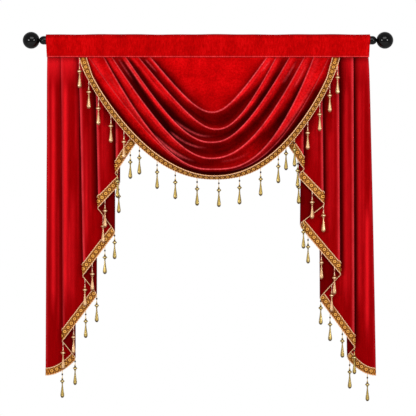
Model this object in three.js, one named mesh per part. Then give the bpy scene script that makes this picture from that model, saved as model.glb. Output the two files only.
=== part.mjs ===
// A velvet swag valance on its curtain rod.
//
// One red velvet swag with five pleats hangs between two cascade tails of Z pleats. All three are sewn
// into a flat sleeve that the rod runs through. A gold braid edges the swag and both tails, and beaded
// drops hang from the braid.
//
// Millimetres, +Z up, +X to the right as seen from the room, the room on the -Y side.
// The origin is the middle of the rod's axis.

import * as THREE from 'three';
import { mergeVertices } from 'three/addons/utils/BufferGeometryUtils.js';

// ---------------------------------------------------------------- driving dimensions

const CLOTH = 1.2; // thickness of the velvet
const GAP = 0.3; // between pieces that are sewn or fitted together
const BRAID_GAP = 0.62; // under the braid, where both turn

const ROD_RADIUS = 12.7; // a one-inch rod
const ROD_HALF = 490; // from the middle to the finial
const ROD_SIDES = 24;

const HEADER_HALF = 495; // half of the sleeve's width
const HEADER_TOP = 18.7;
const HEADER_CLOTH = 2 * CLOTH; // the band is doubled cloth
const HEADER_CLEARANCE = 3.2; // between the rod and the pocket
const HEADER_STRIP_TOP = -43; // the two sides of the sleeve meet here
const HEADER_BOTTOM = -52; // and end here, over the heads of swag and tails
const HEADER_FRONT = -12.5; // front face of the strip
const HEADER_TAPER = 3; // each lower corner is drawn in by this much

const HEAD_Z = -46; // top edge of the swag and the tails, behind the strip
const SEAM_Z = -53; // where they come out below it

const BRAID_WIDTH = 23.5;
const BRAID_CLOTH = 1.2; // thickness of the braid
const BRAID_OVERHANG = 2.5; // how far the braid's edge cord stands past the hem

const DROP_SIDES = 6;

// ---------------------------------------------------------------- small helpers

const lerp = (a, b, f) => a + (b - a) * f;
const clamp01 = (v) => Math.min(1, Math.max(0, v));
const vec = (x, y, z) => new THREE.Vector3(x, y, z);

function smoothstep(from, to, v) {
  const f = clamp01((v - from) / (to - from));
  return f * f * (3 - 2 * f);
}

function meshOf(name, geometry, material) {
  const mesh = new THREE.Mesh(geometry, material);
  mesh.name = name;
  return mesh;
}

// ---------------------------------------------------------------- cloth as a closed solid

const MITRE_LIMIT = 1.6; // how far a sharp fold may push the offset out

/** Unit direction halfway between the runs before and after the middle one of three points. */
function bend(before, at, after) {
  const ahead = after.clone().sub(at);
  const behind = at.clone().sub(before);
  const sum = vec(0, 0, 0);
  [ahead, behind].filter((d) => d.length() > 1e-6).forEach((d) => sum.add(d.normalize()));
  const half = ahead.length() > 0 && behind.length() > 0 ? sum.length() / 2 : 1;
  return { direction: sum.normalize(), mitre: Math.min(MITRE_LIMIT, 1 / Math.max(half, 0.1)) };
}

/** Right-side normal of the cloth at each point of a grid, longer where a fold is sharp. */
function gridNormals(grid) {
  return grid.map((row, i) => row.map((point, j) => {
    const down = bend(grid[Math.max(i - 1, 0)][j], point, grid[Math.min(i + 1, grid.length - 1)][j]);
    const along = bend(row[Math.max(j - 1, 0)], point, row[Math.min(j + 1, row.length - 1)]);
    const normal = down.direction.clone().cross(along.direction).normalize();
    return normal.multiplyScalar(Math.max(down.mitre, along.mitre));
  }));
}

/**
 * Closed solid of a sheet. Its centre surface is a grid of points, rows down the cloth and columns to
 * the right as seen from its right side. lift moves the sheet off that surface, to the right side.
 */
function sheetSolid(grid, thickness, lift = 0) {
  const normals = gridNormals(grid);
  const rows = grid.length;
  const columns = grid[0].length;
  const position = [];
  [lift + thickness / 2, lift - thickness / 2].forEach((offset) => {
    grid.forEach((row, i) => row.forEach((point, j) => {
      const at = point.clone().addScaledVector(normals[i][j], offset);
      position.push(at.x, at.y, at.z);
    }));
  });
  const front = (i, j) => i * columns + j;
  const back = (i, j) => rows * columns + front(i, j);
  const index = [];
  const quad = (a, b, c, d) => index.push(a, b, c, a, c, d);
  for (let i = 0; i < rows - 1; i += 1) {
    for (let j = 0; j < columns - 1; j += 1) {
      quad(front(i, j), front(i + 1, j), front(i + 1, j + 1), front(i, j + 1));
      quad(back(i, j), back(i, j + 1), back(i + 1, j + 1), back(i + 1, j));
    }
    quad(front(i, 0), back(i, 0), back(i + 1, 0), front(i + 1, 0));
    quad(front(i + 1, columns - 1), back(i + 1, columns - 1), back(i, columns - 1), front(i, columns - 1));
  }
  for (let j = 0; j < columns - 1; j += 1) {
    quad(front(0, j + 1), back(0, j + 1), back(0, j), front(0, j));
    quad(front(rows - 1, j), back(rows - 1, j), back(rows - 1, j + 1), front(rows - 1, j + 1));
  }
  const geometry = new THREE.BufferGeometry();
  geometry.setAttribute('position', new THREE.Float32BufferAttribute(position, 3));
  geometry.setIndex(index);
  geometry.computeVertexNormals();
  return geometry;
}

// ---------------------------------------------------------------- rod and finials

function rodGeometry() {
  const geometry = new THREE.CylinderGeometry(ROD_RADIUS, ROD_RADIUS, 2 * ROD_HALF, ROD_SIDES);
  geometry.rotateZ(-Math.PI / 2);
  return geometry;
}

// Collar and waist of a finial, outwards from the end of the rod: radius at a distance from it.
const COLLAR_PROFILE = [
  { at: 0, radius: 11.5 },
  { at: 4, radius: 13 },
  { at: 14, radius: 13 },
  { at: 20, radius: 11 },
  { at: 23.5, radius: 7 },
  { at: 25, radius: 4 },
];
const BALL_RADIUS = 25.8;
const BALL_AT = 50;
const BALL_STARTS = 0.28; // angle from the ball's inner pole at which it grows out of the waist
const BALL_RINGS = 8;
const FINIAL_SIDES = 18;

/** Turned finial along +X from x = 0: a collar, a thin waist and a ball. */
function finialGeometry() {
  const profile = [new THREE.Vector2(0, 0)];
  COLLAR_PROFILE.forEach(({ at, radius }) => profile.push(new THREE.Vector2(radius, at)));
  for (let i = 0; i < BALL_RINGS; i += 1) {
    const angle = lerp(BALL_STARTS, Math.PI, i / BALL_RINGS);
    profile.push(new THREE.Vector2(BALL_RADIUS * Math.sin(angle), BALL_AT - BALL_RADIUS * Math.cos(angle)));
  }
  profile.push(new THREE.Vector2(0, BALL_AT + BALL_RADIUS));
  const geometry = new THREE.LatheGeometry(profile, FINIAL_SIDES);
  geometry.rotateZ(-Math.PI / 2);
  return geometry;
}

// ---------------------------------------------------------------- header sleeve

const FRONT_LEAN = 1.03 * Math.PI; // where the sleeve's round top turns into its straight front
const BACK_LEAN = -0.5; // and into its slanted back
const POCKET_FOOT = 3.5; // the pocket's lowest corner is this far above the strip
const ARC_STEPS = 14;

/**
 * The sleeve is one doubled band of cloth that goes over the rod and down both sides to a flat strip.
 * Its section is drawn with X for depth (the room on the left) and Y for height.
 */
function headerGeometry() {
  const outer = HEADER_TOP; // radius of the outside, about the rod's axis
  const inner = ROD_RADIUS + HEADER_CLEARANCE;
  const stripBack = HEADER_FRONT + HEADER_CLOTH;
  const section = new THREE.Shape();
  section.absarc(0, 0, outer, BACK_LEAN, FRONT_LEAN, false);
  section.lineTo(HEADER_FRONT, HEADER_STRIP_TOP);
  section.lineTo(HEADER_FRONT, HEADER_BOTTOM);
  section.lineTo(stripBack, HEADER_BOTTOM);
  section.lineTo(stripBack, HEADER_STRIP_TOP - 1);
  section.closePath();
  const pocket = new THREE.Path();
  pocket.absarc(0, 0, inner, FRONT_LEAN, BACK_LEAN, true);
  pocket.lineTo(stripBack, HEADER_STRIP_TOP + POCKET_FOOT);
  pocket.closePath();
  section.holes.push(pocket);
  const extrusion = { depth: 2 * HEADER_HALF, steps: 1, bevelEnabled: false, curveSegments: ARC_STEPS };
  let geometry = new THREE.ExtrudeGeometry(section, extrusion);
  geometry.translate(0, 0, -HEADER_HALF);
  geometry.deleteAttribute('normal');
  geometry.deleteAttribute('uv');
  geometry = mergeVertices(geometry, 1e-4);
  // section X -> world Y, section Y -> world Z, extrusion Z -> world X
  const swapAxes = new THREE.Matrix4().set(0, 0, 1, 0, 1, 0, 0, 0, 0, 1, 0, 0, 0, 0, 0, 1);
  geometry.applyMatrix4(swapAxes);
  const position = geometry.getAttribute('position');
  for (let i = 0; i < position.count; i += 1) {
    const low = clamp01((HEADER_TOP - position.getZ(i)) / (HEADER_TOP - HEADER_BOTTOM));
    const drawnIn = HEADER_TAPER * low;
    position.setX(i, position.getX(i) * (1 - drawnIn / HEADER_HALF));
  }
  geometry.computeVertexNormals();
  return geometry;
}

// ---------------------------------------------------------------- swag

const SWAG_HEAD_Y = -8.2; // centre of the cloth behind the strip
const SWAG_REACH = 70; // height over which the pleats swell out from the seam
const SEAM_TURN = 20; // how late the hem turns steeper on its way into the seam

/**
 * One row for each pleat edge, from the flat middle down to the braid's centre line.
 * lowX, lowZ: the lowest point. end: distance of the seam end from that side's origin line, in X.
 * bend: how straight the sides run (0 is a parabola). power: how flat the bottom is. turn: share of
 * the height that is taken up next to the seam. out: how far the edge stands towards the room.
 * valleyMiddle, valleySide: depth of the trough above this edge, at the middle and at the sides.
 */
const SWAG_EDGES = [
  {
    name: 'first', lowX: 12, lowZ: -221, out: 26, valleyMiddle: 2, valleySide: 9,
    left: { end: -176, bend: 2.6, power: 1, turn: 0 }, right: { end: 180, bend: 3, power: 1.1, turn: 0 },
  },
  {
    name: 'second', lowX: 25, lowZ: -273, out: 38, valleyMiddle: 20, valleySide: 15,
    left: { end: -212, bend: 3.6, power: 1.05, turn: 0 }, right: { end: 208, bend: 2.8, power: 1.2, turn: 0 },
  },
  {
    name: 'third', lowX: 10, lowZ: -313, out: 47, valleyMiddle: 18, valleySide: 16,
    left: { end: -251, bend: 2.4, power: 1.1, turn: 0 }, right: { end: 249, bend: 3.2, power: 1.25, turn: 0 },
  },
  {
    name: 'fourth', lowX: 8, lowZ: -362, out: 55, valleyMiddle: 21, valleySide: 17,
    left: { end: -293, bend: 1.8, power: 1, turn: 0 }, right: { end: 294, bend: 1.6, power: 1.15, turn: 0 },
  },
  {
    name: 'fifth', lowX: 14, lowZ: -395, out: 60, valleyMiddle: 15, valleySide: 15,
    left: { end: -318, bend: 3.4, power: 1.4, turn: 0 }, right: { end: 323, bend: 1.2, power: 1.4, turn: 0 },
  },
  {
    name: 'side', lowX: 14, lowZ: -403, out: 60, valleyMiddle: 0.5, valleySide: 7,
    left: { end: -363, bend: 3.4, power: 1.2, turn: 0 }, right: { end: 369, bend: 1.4, power: 1.35, turn: 0 },
  },
  {
    name: 'braid', lowX: 18.5, lowZ: -418, out: 56, valleyMiddle: 6, valleySide: 9,
    left: { end: -382.5, bend: 0.2, power: 1.03, turn: 0.07 }, right: { end: 391, bend: 0.2, power: 1.13, turn: 0.07 },
  },
];
const HEAD_ROW_HALF = 170; // half the flat middle's width along the head
const TILT_MIDDLE = 60 * Math.PI / 180; // the hem turns under by this much at the lowest point
const TILT_SIDE = 40 * Math.PI / 180; // and by this much at the sides
const SIDE_TILT_FROM = 0.42; // which begin here
const LEVEL_FROM = 0.93; // from here the ends of the hem turn level and upright into the seam

/** Height share (0 low point, 1 seam) of a pleat edge at t, 0 at its low point and 1 at the seam. */
function edgeRise(side, t) {
  const bowl = (Math.hypot(1, side.bend * t) - 1) / (Math.hypot(1, side.bend) - 1);
  return (1 - side.turn) * bowl ** side.power + side.turn * t ** SEAM_TURN;
}

/** How far cloth that comes out of the seam has swelled at height z, from 0 at the seam to 1. */
const swell = (z, reach) => 1 - Math.exp(-Math.max(0, SEAM_Z - z) / reach);

/** Point of a pleat edge. u runs from -1 at the left seam end, past 0 at the low point, to 1. */
function edgePoint(edge, u) {
  const side = u < 0 ? edge.left : edge.right;
  const t = Math.abs(u);
  const z = lerp(edge.lowZ, SEAM_Z, edgeRise(side, t));
  return vec(lerp(edge.lowX, side.end, t), SWAG_HEAD_Y - edge.out * swell(z, SWAG_REACH), z);
}

/** Unit direction of a pleat edge, to the right. */
function edgeDirection(edge, u) {
  const step = 0.004;
  const after = edgePoint(edge, Math.min(u + step, 1));
  return after.sub(edgePoint(edge, Math.max(u - step, -1))).normalize();
}

/** The braid's centre on the hem, with the way up across it and the cloth's right-side normal. */
function hemFrame(u) {
  const edge = SWAG_EDGES.at(-1);
  const centre = edgePoint(edge, u);
  const along = edgeDirection(edge, u);
  const room = vec(0, -1, 0);
  const level = vec(Math.sign(-u), 0, 0);
  const square = room.clone().cross(along).normalize();
  const ending = smoothstep(LEVEL_FROM, 1, Math.abs(u));
  const upright = square.lerp(level, ending).normalize();
  const tilt = (1 - ending) * lerp(TILT_MIDDLE, TILT_SIDE, smoothstep(0, SIDE_TILT_FROM, Math.abs(u)));
  const up = upright.multiplyScalar(Math.cos(tilt)).addScaledVector(room, Math.sin(tilt)).normalize();
  const normal = along.clone().cross(up).normalize();
  return { centre, up, normal };
}

// A trough from one pleat edge to the next: [share of the way, share of the depth]. In the middle it
// is an open hollow. At the sides a roll of cloth comes first, whose front is the first row and whose
// turn is the second, and the next pleat stands in front of a pocket.
const TROUGH_MIDDLE = [[0.2, 0.62], [0.46, 1], [0.8, 0.55], [1, 0]];
const TROUGH_SIDE = [[0.55, 0.06], [1.15, 0.75], [0.95, 1], [1, 0]];
const ROLL_WIDTH = 14; // the first two sides are shares of the roll, not of the way
const ROLL_SHARE = 0.56; // which is never more than this much of the way
const TROUGH_WIDTH = 1.3; // a trough narrower than this many times its depth is shallower
const HEAD_TROUGH = 1.6; // what is left of a trough where it is sewn flat into the seam
const SIDE_FROM = 0.2; // the open hollow turns into a pocket between these
const SIDE_TO = 0.6;

/** Points of the trough between two pleat edges, after the upper edge, down to the lower one. */
function troughPoints(upper, lower, edge, u) {
  const side = smoothstep(SIDE_FROM, SIDE_TO, Math.abs(u));
  const full = lerp(edge.valleyMiddle, edge.valleySide, side);
  const across = lower.clone().sub(upper).cross(edgeDirection(edge, u)).length();
  const depth = full * Math.tanh(across / (TROUGH_WIDTH * full));
  const roll = Math.min(ROLL_SHARE, ROLL_WIDTH / across);
  return TROUGH_MIDDLE.map(([middleWay, middleDeep], i) => {
    const [sideShare, sideDeep] = TROUGH_SIDE[i];
    const sideWay = i < 2 ? sideShare * roll : sideShare;
    const point = upper.clone().lerp(lower, lerp(middleWay, sideWay, side));
    const deep = lerp(middleDeep, sideDeep, side);
    point.y += deep * lerp(HEAD_TROUGH, depth, swell(point.z, SWAG_REACH / 1.5));
    return point;
  });
}

const FLAT_ROWS = [0.05, 0.35, 0.65, 0.86]; // rows of the flat middle, above the first edge
const FLAT_HOLLOW_FROM = 0.2; // the flat middle sinks from here on, towards the first edge
const FLAT_LEAN = 1.5; // and leans out later than it goes down
const HEAD_SPREAD = 1.006; // keeps the gathered ends of the head a little apart

/** One column of the swag, from its head down to the hem. */
function swagColumn(u) {
  const first = edgePoint(SWAG_EDGES[0], u);
  const head = vec(HEAD_ROW_HALF * u, SWAG_HEAD_Y, HEAD_Z);
  const flat = FLAT_ROWS.map((way) => {
    const point = head.clone().lerp(first, way);
    const trough = lerp(SWAG_EDGES[0].valleyMiddle, SWAG_EDGES[0].valleySide, Math.abs(u));
    point.y = SWAG_HEAD_Y + (first.y - SWAG_HEAD_Y) * way ** FLAT_LEAN;
    point.y += trough * swell(point.z, SWAG_REACH) * smoothstep(FLAT_HOLLOW_FROM, FLAT_ROWS.at(-1), way);
    return point;
  });
  const column = [head, ...flat, first];
  let upper = first;
  SWAG_EDGES.slice(1, -1).forEach((edge) => {
    const lower = edgePoint(edge, u);
    column.push(...troughPoints(upper, lower, edge, u));
    upper = lower;
  });
  const { centre, up } = hemFrame(u);
  const hemTop = centre.clone().addScaledVector(up, BRAID_WIDTH / 2 - 1);
  const hem = centre.clone().addScaledVector(up, BRAID_OVERHANG - BRAID_WIDTH / 2);
  column.push(...troughPoints(upper, hemTop, SWAG_EDGES.at(-1), u), centre, hem);
  return column;
}

const SWAG_COLUMNS = 28;

function swagStations(count) {
  return Array.from({ length: count + 1 }, (_, i) => lerp(-1, 1, i / count));
}

/** Columns turned into rows. */
const transpose = (columns) => columns[0].map((_, i) => columns.map((column) => column[i]));

function swagGeometry() {
  const columns = swagStations(SWAG_COLUMNS).map(swagColumn);
  const flatRows = FLAT_ROWS.length + 1;
  // the cloth's gathered ends go up behind the strip to its head
  const lap = (column) => column.map((point, i) => {
    const x = lerp(column[0].x * HEAD_SPREAD, column[flatRows].x, i / flatRows);
    return i <= flatRows ? vec(x, point.y, HEAD_Z) : vec(point.x, point.y, HEAD_Z);
  });
  columns.unshift(lap(columns[0]));
  columns.push(lap(columns.at(-1)));
  return sheetSolid(transpose(columns), CLOTH);
}

const BRAID_ENDS = 0.998; // share of the hem that the swag's braid covers, just below the header
const BRAID_LIFT = CLOTH / 2 + BRAID_GAP + BRAID_CLOTH / 2; // braid's centre off the cloth's centre

function swagBraidGeometry() {
  const half = BRAID_WIDTH / 2;
  const columns = swagStations(SWAG_COLUMNS).map((u) => {
    const { centre, up } = hemFrame(Math.abs(u) === 1 ? u * BRAID_ENDS : u);
    return [half, 0, BRAID_OVERHANG - half, -half].map((across) => centre.clone().addScaledVector(up, across));
  });
  return sheetSolid(transpose(columns), BRAID_CLOTH, BRAID_LIFT);
}

// ---------------------------------------------------------------- tails

const PLEAT_HEAD = 1.6; // from one layer's centre to the next, sewn into the seam
const PLEAT_HEM = 8; // and where the pleats hang free
const BACK_HEAD = 9; // centre of the layer nearest the wall, at the seam
const BACK_HEM = 26; // and where the pleats hang free
const OPEN_BY = -330; // the pleats have opened out by this height
const EDGE_EASE = 0.7; // a pleat edge moves sideways sooner than it goes down
const HEM_SLOPE = 1.25; // fall of the hem round a fold, for each mm of cloth
const TIP_EASE = 2; // the hem flattens out into the outer corner
const STEEPEST = 2.2; // a braid on a steep hem is this many times as high as it is wide, at most
const RIDGE_GROWS = 120; // length over which a ridge rises out of the cloth
const RIDGE_FADES = 160; // and fades into it again

/**
 * Pleat edges of each tail from its outer edge inwards. Odd rows are folds turned to the middle, the
 * even ones between them are the front edges of the pleats. head and hem are distances from the
 * middle of the valance at the seam and at the hem; hemZ is the height of the hem there.
 */
const TAILS = {
  left: {
    side: -1,
    edges: [
      { name: 'outer edge', head: 492, hem: 498, hemZ: -1023 },
      { name: 'fifth back fold', head: 404, hem: 406, hemZ: -970 },
      { name: 'fourth front edge', head: 450, hem: 444, hemZ: -917 },
      { name: 'fourth back fold', head: 339, hem: 340, hemZ: -775 },
      { name: 'third front edge', head: 397, hem: 381, hemZ: -717 },
      { name: 'third back fold', head: 283, hem: 284, hemZ: -584 },
      { name: 'second front edge', head: 347, hem: 334, hemZ: -510 },
      { name: 'second back fold', head: 266, hem: 268, hemZ: -433 },
      { name: 'first front edge', head: 284, hem: 280, hemZ: -403 },
      { name: 'inner edge', head: 196, hem: 204, hemZ: -290 },
    ],
    ridges: [
      { at: 474, wide: 9, high: 4.5, from: -60, to: -900 },
      { at: 436, wide: 9, high: 4.5, from: -60, to: -880 },
      { at: 414, wide: 10, high: 3, from: -400, to: -900 },
      { at: 372, wide: 9, high: 2.5, from: -200, to: -700 },
      { at: 312, wide: 12, high: 2.5, from: -150, to: -520 },
    ],
  },
  right: {
    side: 1,
    edges: [
      { name: 'outer edge', head: 491, hem: 515, hemZ: -1023 },
      { name: 'fifth back fold', head: 412, hem: 426, hemZ: -966 },
      { name: 'fourth front edge', head: 444, hem: 448, hemZ: -935 },
      { name: 'fourth back fold', head: 338, hem: 342, hemZ: -787 },
      { name: 'third front edge', head: 399, hem: 403, hemZ: -712 },
      { name: 'third back fold', head: 288, hem: 281, hemZ: -562 },
      { name: 'second front edge', head: 347, hem: 352, hemZ: -498 },
      { name: 'second back fold', head: 276, hem: 276, hemZ: -412 },
      { name: 'first front edge', head: 294, hem: 290, hemZ: -390 },
      { name: 'inner edge', head: 202, hem: 208, hemZ: -268 },
    ],
    ridges: [
      { at: 488, wide: 9, high: 4.5, from: -450, to: -980 },
      { at: 463, wide: 10, high: 3.5, from: -60, to: -900 },
      { at: 421, wide: 10, high: 3.5, from: -60, to: -880 },
      { at: 372, wide: 9, high: 3, from: -200, to: -680 },
      { at: 322, wide: 12, high: 2.5, from: -150, to: -470 },
    ],
  },
};

/** Distance of a pleat edge from the middle of the valance, at height z. */
function edgeOut(edge, z) {
  const down = Math.max(0, (SEAM_Z - z) / (SEAM_Z - edge.hemZ));
  return lerp(edge.head, edge.hem, down ** EDGE_EASE);
}

/** Centre of a layer in depth; layer 0 is nearest the wall. */
function layerDepth(layer, z) {
  const open = smoothstep(SEAM_Z, OPEN_BY, z);
  return lerp(BACK_HEAD, BACK_HEM, open) - layer * lerp(PLEAT_HEAD, PLEAT_HEM, open);
}

/** Soft ridges that the hanging cloth shares through all its layers. */
function ridgeHeight(ridges, out, z) {
  return ridges.reduce((sum, { at, wide, high, from, to }) => {
    const length = smoothstep(from, from - RIDGE_GROWS, z) * (1 - smoothstep(to + RIDGE_FADES, to, z));
    return sum + high * length * Math.exp(-(((out - at) / wide) ** 2));
  }, 0);
}

const LAYERS = 9; // five that face the room and four returns between them

/**
 * Stations across a tail, from its outer edge inwards. A station is on a layer, way of the distance
 * between two pleat edges, or on a fold, at an angle round it from -90 to 90 degrees.
 */
function tailStations(perFront, perReturn, perFold) {
  const stations = [];
  for (let layer = 0; layer < LAYERS; layer += 1) {
    const front = layer % 2 === 0;
    const count = (front ? perFront : perReturn)[Math.floor(layer / 2)];
    for (let i = 0; i <= count; i += 1) {
      stations.push({ layer, way: i / count });
    }
    for (let i = 1; i < perFold && layer < LAYERS - 1; i += 1) {
      stations.push({ fold: layer + 1, angle: lerp(-Math.PI / 2, Math.PI / 2, i / perFold) });
    }
  }
  return stations;
}

const foldRadius = (z) => (layerDepth(0, z) - layerDepth(1, z)) / 2;
const isFold = (k) => k > 0 && k < LAYERS;
const foldTurn = (k) => (isFold(k) ? foldRadius(OPEN_BY) * HEM_SLOPE : 0); // hem's rise per radian

/** Height of the hem at a station. */
function hemHeight(tail, station) {
  if (station.fold !== undefined) {
    return tail.edges[station.fold].hemZ + foldTurn(station.fold) * station.angle;
  }
  const { layer, way } = station;
  const from = tail.edges[layer].hemZ + foldTurn(layer) * Math.PI / 2;
  const to = tail.edges[layer + 1].hemZ - foldTurn(layer + 1) * Math.PI / 2;
  return lerp(from, to, layer === 0 ? way ** TIP_EASE : way);
}

/** Centre of the cloth at a station and height. */
function tailPoint(tail, station, z) {
  const radius = foldRadius(z);
  const inset = (k) => (isFold(k) ? (k % 2 === 0 ? -radius : radius) : 0);
  let out;
  let y;
  if (station.fold !== undefined) {
    const k = station.fold;
    const turned = Math.cos(station.angle) * (k % 2 === 0 ? radius : -radius);
    out = edgeOut(tail.edges[k], z) + inset(k) + turned;
    y = (layerDepth(k - 1, z) + layerDepth(k, z)) / 2 - radius * Math.sin(station.angle);
  } else {
    const { layer, way } = station;
    const from = edgeOut(tail.edges[layer], z) + inset(layer);
    const to = edgeOut(tail.edges[layer + 1], z) + inset(layer + 1);
    out = lerp(from, to, way);
    y = layerDepth(layer, z);
  }
  return vec(tail.side * out, y - ridgeHeight(tail.ridges, out, z), z);
}

const TAIL_LEVELS = [HEAD_Z, -75, -110, -150, -195]; // rows that every column of a tail shares
const TAIL_LOWER_ROWS = 5; // rows from the last level to the hem

/** Columns of a tail, put in order to the right as seen from the room, on the layers that face it. */
const roomOrder = (tail, columns) => (tail.side < 0 ? columns : columns.reverse());

/** Fall of the hem for each millimetre of cloth at a station, from its neighbours. */
function hemSlope(tail, stations, i) {
  const [before, here, after] = [i - 1, i, i + 1].map((k) => {
    const station = stations[Math.min(Math.max(k, 0), stations.length - 1)];
    return tailPoint(tail, station, hemHeight(tail, station));
  });
  const cloth = Math.hypot(here.x - before.x, here.y - before.y) + Math.hypot(after.x - here.x, after.y - here.y);
  return Math.abs(after.z - before.z) / Math.max(1e-6, cloth);
}

/** Heights of the braid at a station: its upper edge, the cloth's hem and its lower edge. */
function braidHeights(tail, stations, i) {
  const hem = hemHeight(tail, stations[i]);
  const stretch = Math.min(STEEPEST, Math.hypot(1, hemSlope(tail, stations, i)));
  return [hem + (BRAID_WIDTH - BRAID_OVERHANG) * stretch, hem, hem - BRAID_OVERHANG * stretch];
}

function tailGeometry(tail, stations) {
  const columns = stations.map((station, i) => {
    const [braidTop, hem] = braidHeights(tail, stations, i);
    const heights = [...TAIL_LEVELS];
    for (let row = 1; row <= TAIL_LOWER_ROWS; row += 1) {
      heights.push(lerp(TAIL_LEVELS.at(-1), braidTop, row / TAIL_LOWER_ROWS));
    }
    return [...heights, hem].map((z) => tailPoint(tail, station, z));
  });
  return sheetSolid(transpose(roomOrder(tail, columns)), CLOTH);
}

function tailBraidGeometry(tail, stations) {
  const columns = stations.map((station, i) => (
    braidHeights(tail, stations, i).map((z) => tailPoint(tail, station, z))
  ));
  return sheetSolid(transpose(roomOrder(tail, columns)), BRAID_CLOTH, BRAID_LIFT);
}

// ---------------------------------------------------------------- beaded drops

/**
 * Sections of a drop from its thread's top downwards: radius at a distance below the braid.
 * A thread with a small bead, a cap, a cut bead between two caps, then the long drop.
 */
const DROP_PROFILE = [
  { below: 0, radius: 1 },
  { below: 20, radius: 1 },
  { below: 26, radius: 3 },
  { below: 32, radius: 6.2 },
  { below: 38, radius: 3 },
  { below: 44, radius: 1.8 },
  { below: 74, radius: 5.6 },
  { below: 80, radius: 4.6 },
];
const DROP_LENGTH = 82;

function dropGeometry() {
  const profile = [new THREE.Vector2(0, -DROP_LENGTH)];
  [...DROP_PROFILE].reverse().forEach(({ below, radius }) => profile.push(new THREE.Vector2(radius, -below)));
  profile.push(new THREE.Vector2(0, 0));
  const geometry = new THREE.LatheGeometry(profile, DROP_SIDES);
  geometry.rotateX(Math.PI / 2);
  return geometry;
}

const DROP_BEAD = Math.max(...DROP_PROFILE.map(({ radius }) => radius));
const DROP_TOP_GAP = 1.9; // from the braid's lower edge down to the top of the thread
const DROP_EDGE_GAP = 0.9; // and from the swag's edge square to it, as the edge is steep at the sides
const DROP_CLEARS = 1; // a drop on a return hangs this far in front of the layer behind it
const SWAG_LINE = 240; // parts of the line that the swag's drops are measured along

/** Places of a row of drops along a line of points. */
function dropPlaces(line, { count, pitch, start, past }) {
  const lengths = [0];
  line.slice(1).forEach((point, i) => lengths.push(lengths[i] + point.distanceTo(line[i])));
  return Array.from({ length: count }, (_, n) => {
    const at = start + n * pitch + (past[n + 1] ?? 0);
    const next = Math.max(1, lengths.findIndex((length) => length >= at));
    const way = (at - lengths[next - 1]) / (lengths[next] - lengths[next - 1]);
    return { index: next - 1 + clamp01(way), point: line[next - 1].clone().lerp(line[next], clamp01(way)) };
  });
}

/**
 * Drops along each braid: how many, how far apart, where the first one is, and how far some of them
 * were sewn on past their even place.
 */
const DROP_ROWS = {
  swag: {
    count: 18, pitch: 66.3, start: 14, past: { 2: 7, 5: -4, 6: -3, 8: -3, 11: -3, 14: 4, 15: 3, 16: 4, 17: 4 },
  },
  left: { count: 15, pitch: 60.9, start: 60, past: { 1: -4, 2: 5, 7: -3 } },
  right: { count: 16, pitch: 63.2, start: 51, past: { 5: -8, 6: 9, 7: 6, 8: 6, 9: 4, 10: 12, 15: -4 } },
};

/** Drops of the swag hang from the lower edge of its braid. */
function swagDropPlaces() {
  const line = swagStations(SWAG_LINE).map((u) => {
    const { centre, up, normal } = hemFrame(u);
    return centre.addScaledVector(up, -BRAID_WIDTH / 2 - DROP_EDGE_GAP).addScaledVector(normal, BRAID_LIFT);
  });
  return dropPlaces(line, DROP_ROWS.swag).map(({ point }) => point);
}

const TAIL_LINE = tailStations([24, 24, 24, 24, 24], [12, 12, 12, 12], 8).reverse();

/** Drops of a tail hang from its hem, each in front of the layer behind it. */
function tailDropPlaces(tail, row) {
  const line = TAIL_LINE.map((station, i) => tailPoint(tail, station, braidHeights(tail, TAIL_LINE, i)[2]));
  return dropPlaces(line, row).map(({ index, point }) => {
    const { layer } = TAIL_LINE[Math.round(index)];
    const facesRoom = layer === undefined || layer % 2 === 0;
    point.y += facesRoom ? -BRAID_LIFT : PLEAT_HEM - BRAID_LIFT - BRAID_CLOTH / 2 - DROP_BEAD - DROP_CLEARS;
    return point;
  });
}

// ---------------------------------------------------------------- materials

const material = (color, roughness, metalness = 0) => (
  new THREE.MeshStandardMaterial({ color, roughness, metalness })
);
const VELVET = material(0xb0060f, 0.75);
const BRAID = material(0xb8822f, 0.6);
const BEADS = material(0xd0a45a, 0.2);
const ROD_FINISH = material(0x101012, 0.25, 0.3);

// ---------------------------------------------------------------- the valance

const valance = new THREE.Group();

valance.add(meshOf('rod', rodGeometry(), ROD_FINISH));
const finialLeft = meshOf('finial_left', finialGeometry(), ROD_FINISH);
finialLeft.rotation.z = Math.PI;
finialLeft.position.x = -(ROD_HALF + GAP);
const finialRight = meshOf('finial_right', finialGeometry(), ROD_FINISH);
finialRight.position.x = ROD_HALF + GAP;
valance.add(finialLeft, finialRight);

valance.add(meshOf('header', headerGeometry(), VELVET));
valance.add(meshOf('swag', swagGeometry(), VELVET));
valance.add(meshOf('swag_braid', swagBraidGeometry(), BRAID));

// quads across each layer that faces the room, across each return, and round each fold
const TAIL_MESH = tailStations([5, 5, 5, 4, 4], [2, 2, 2, 1], 2);
Object.entries(TAILS).forEach(([name, tail]) => {
  valance.add(meshOf(`tail_${name}`, tailGeometry(tail, TAIL_MESH), VELVET));
  valance.add(meshOf(`tail_${name}_braid`, tailBraidGeometry(tail, TAIL_MESH), BRAID));
});

function addDrops(name, places) {
  places.forEach((place, i) => {
    const drop = meshOf(`${name}_${String(i + 1).padStart(2, '0')}`, dropGeometry(), BEADS);
    drop.position.copy(place);
    drop.position.z -= DROP_TOP_GAP;
    valance.add(drop);
  });
}
addDrops('swag_drop', swagDropPlaces());
addDrops('left_drop', tailDropPlaces(TAILS.left, DROP_ROWS.left));
addDrops('right_drop', tailDropPlaces(TAILS.right, DROP_ROWS.right));

export default valance;
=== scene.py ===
from math import cos, hypot, pi, radians, sin

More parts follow.
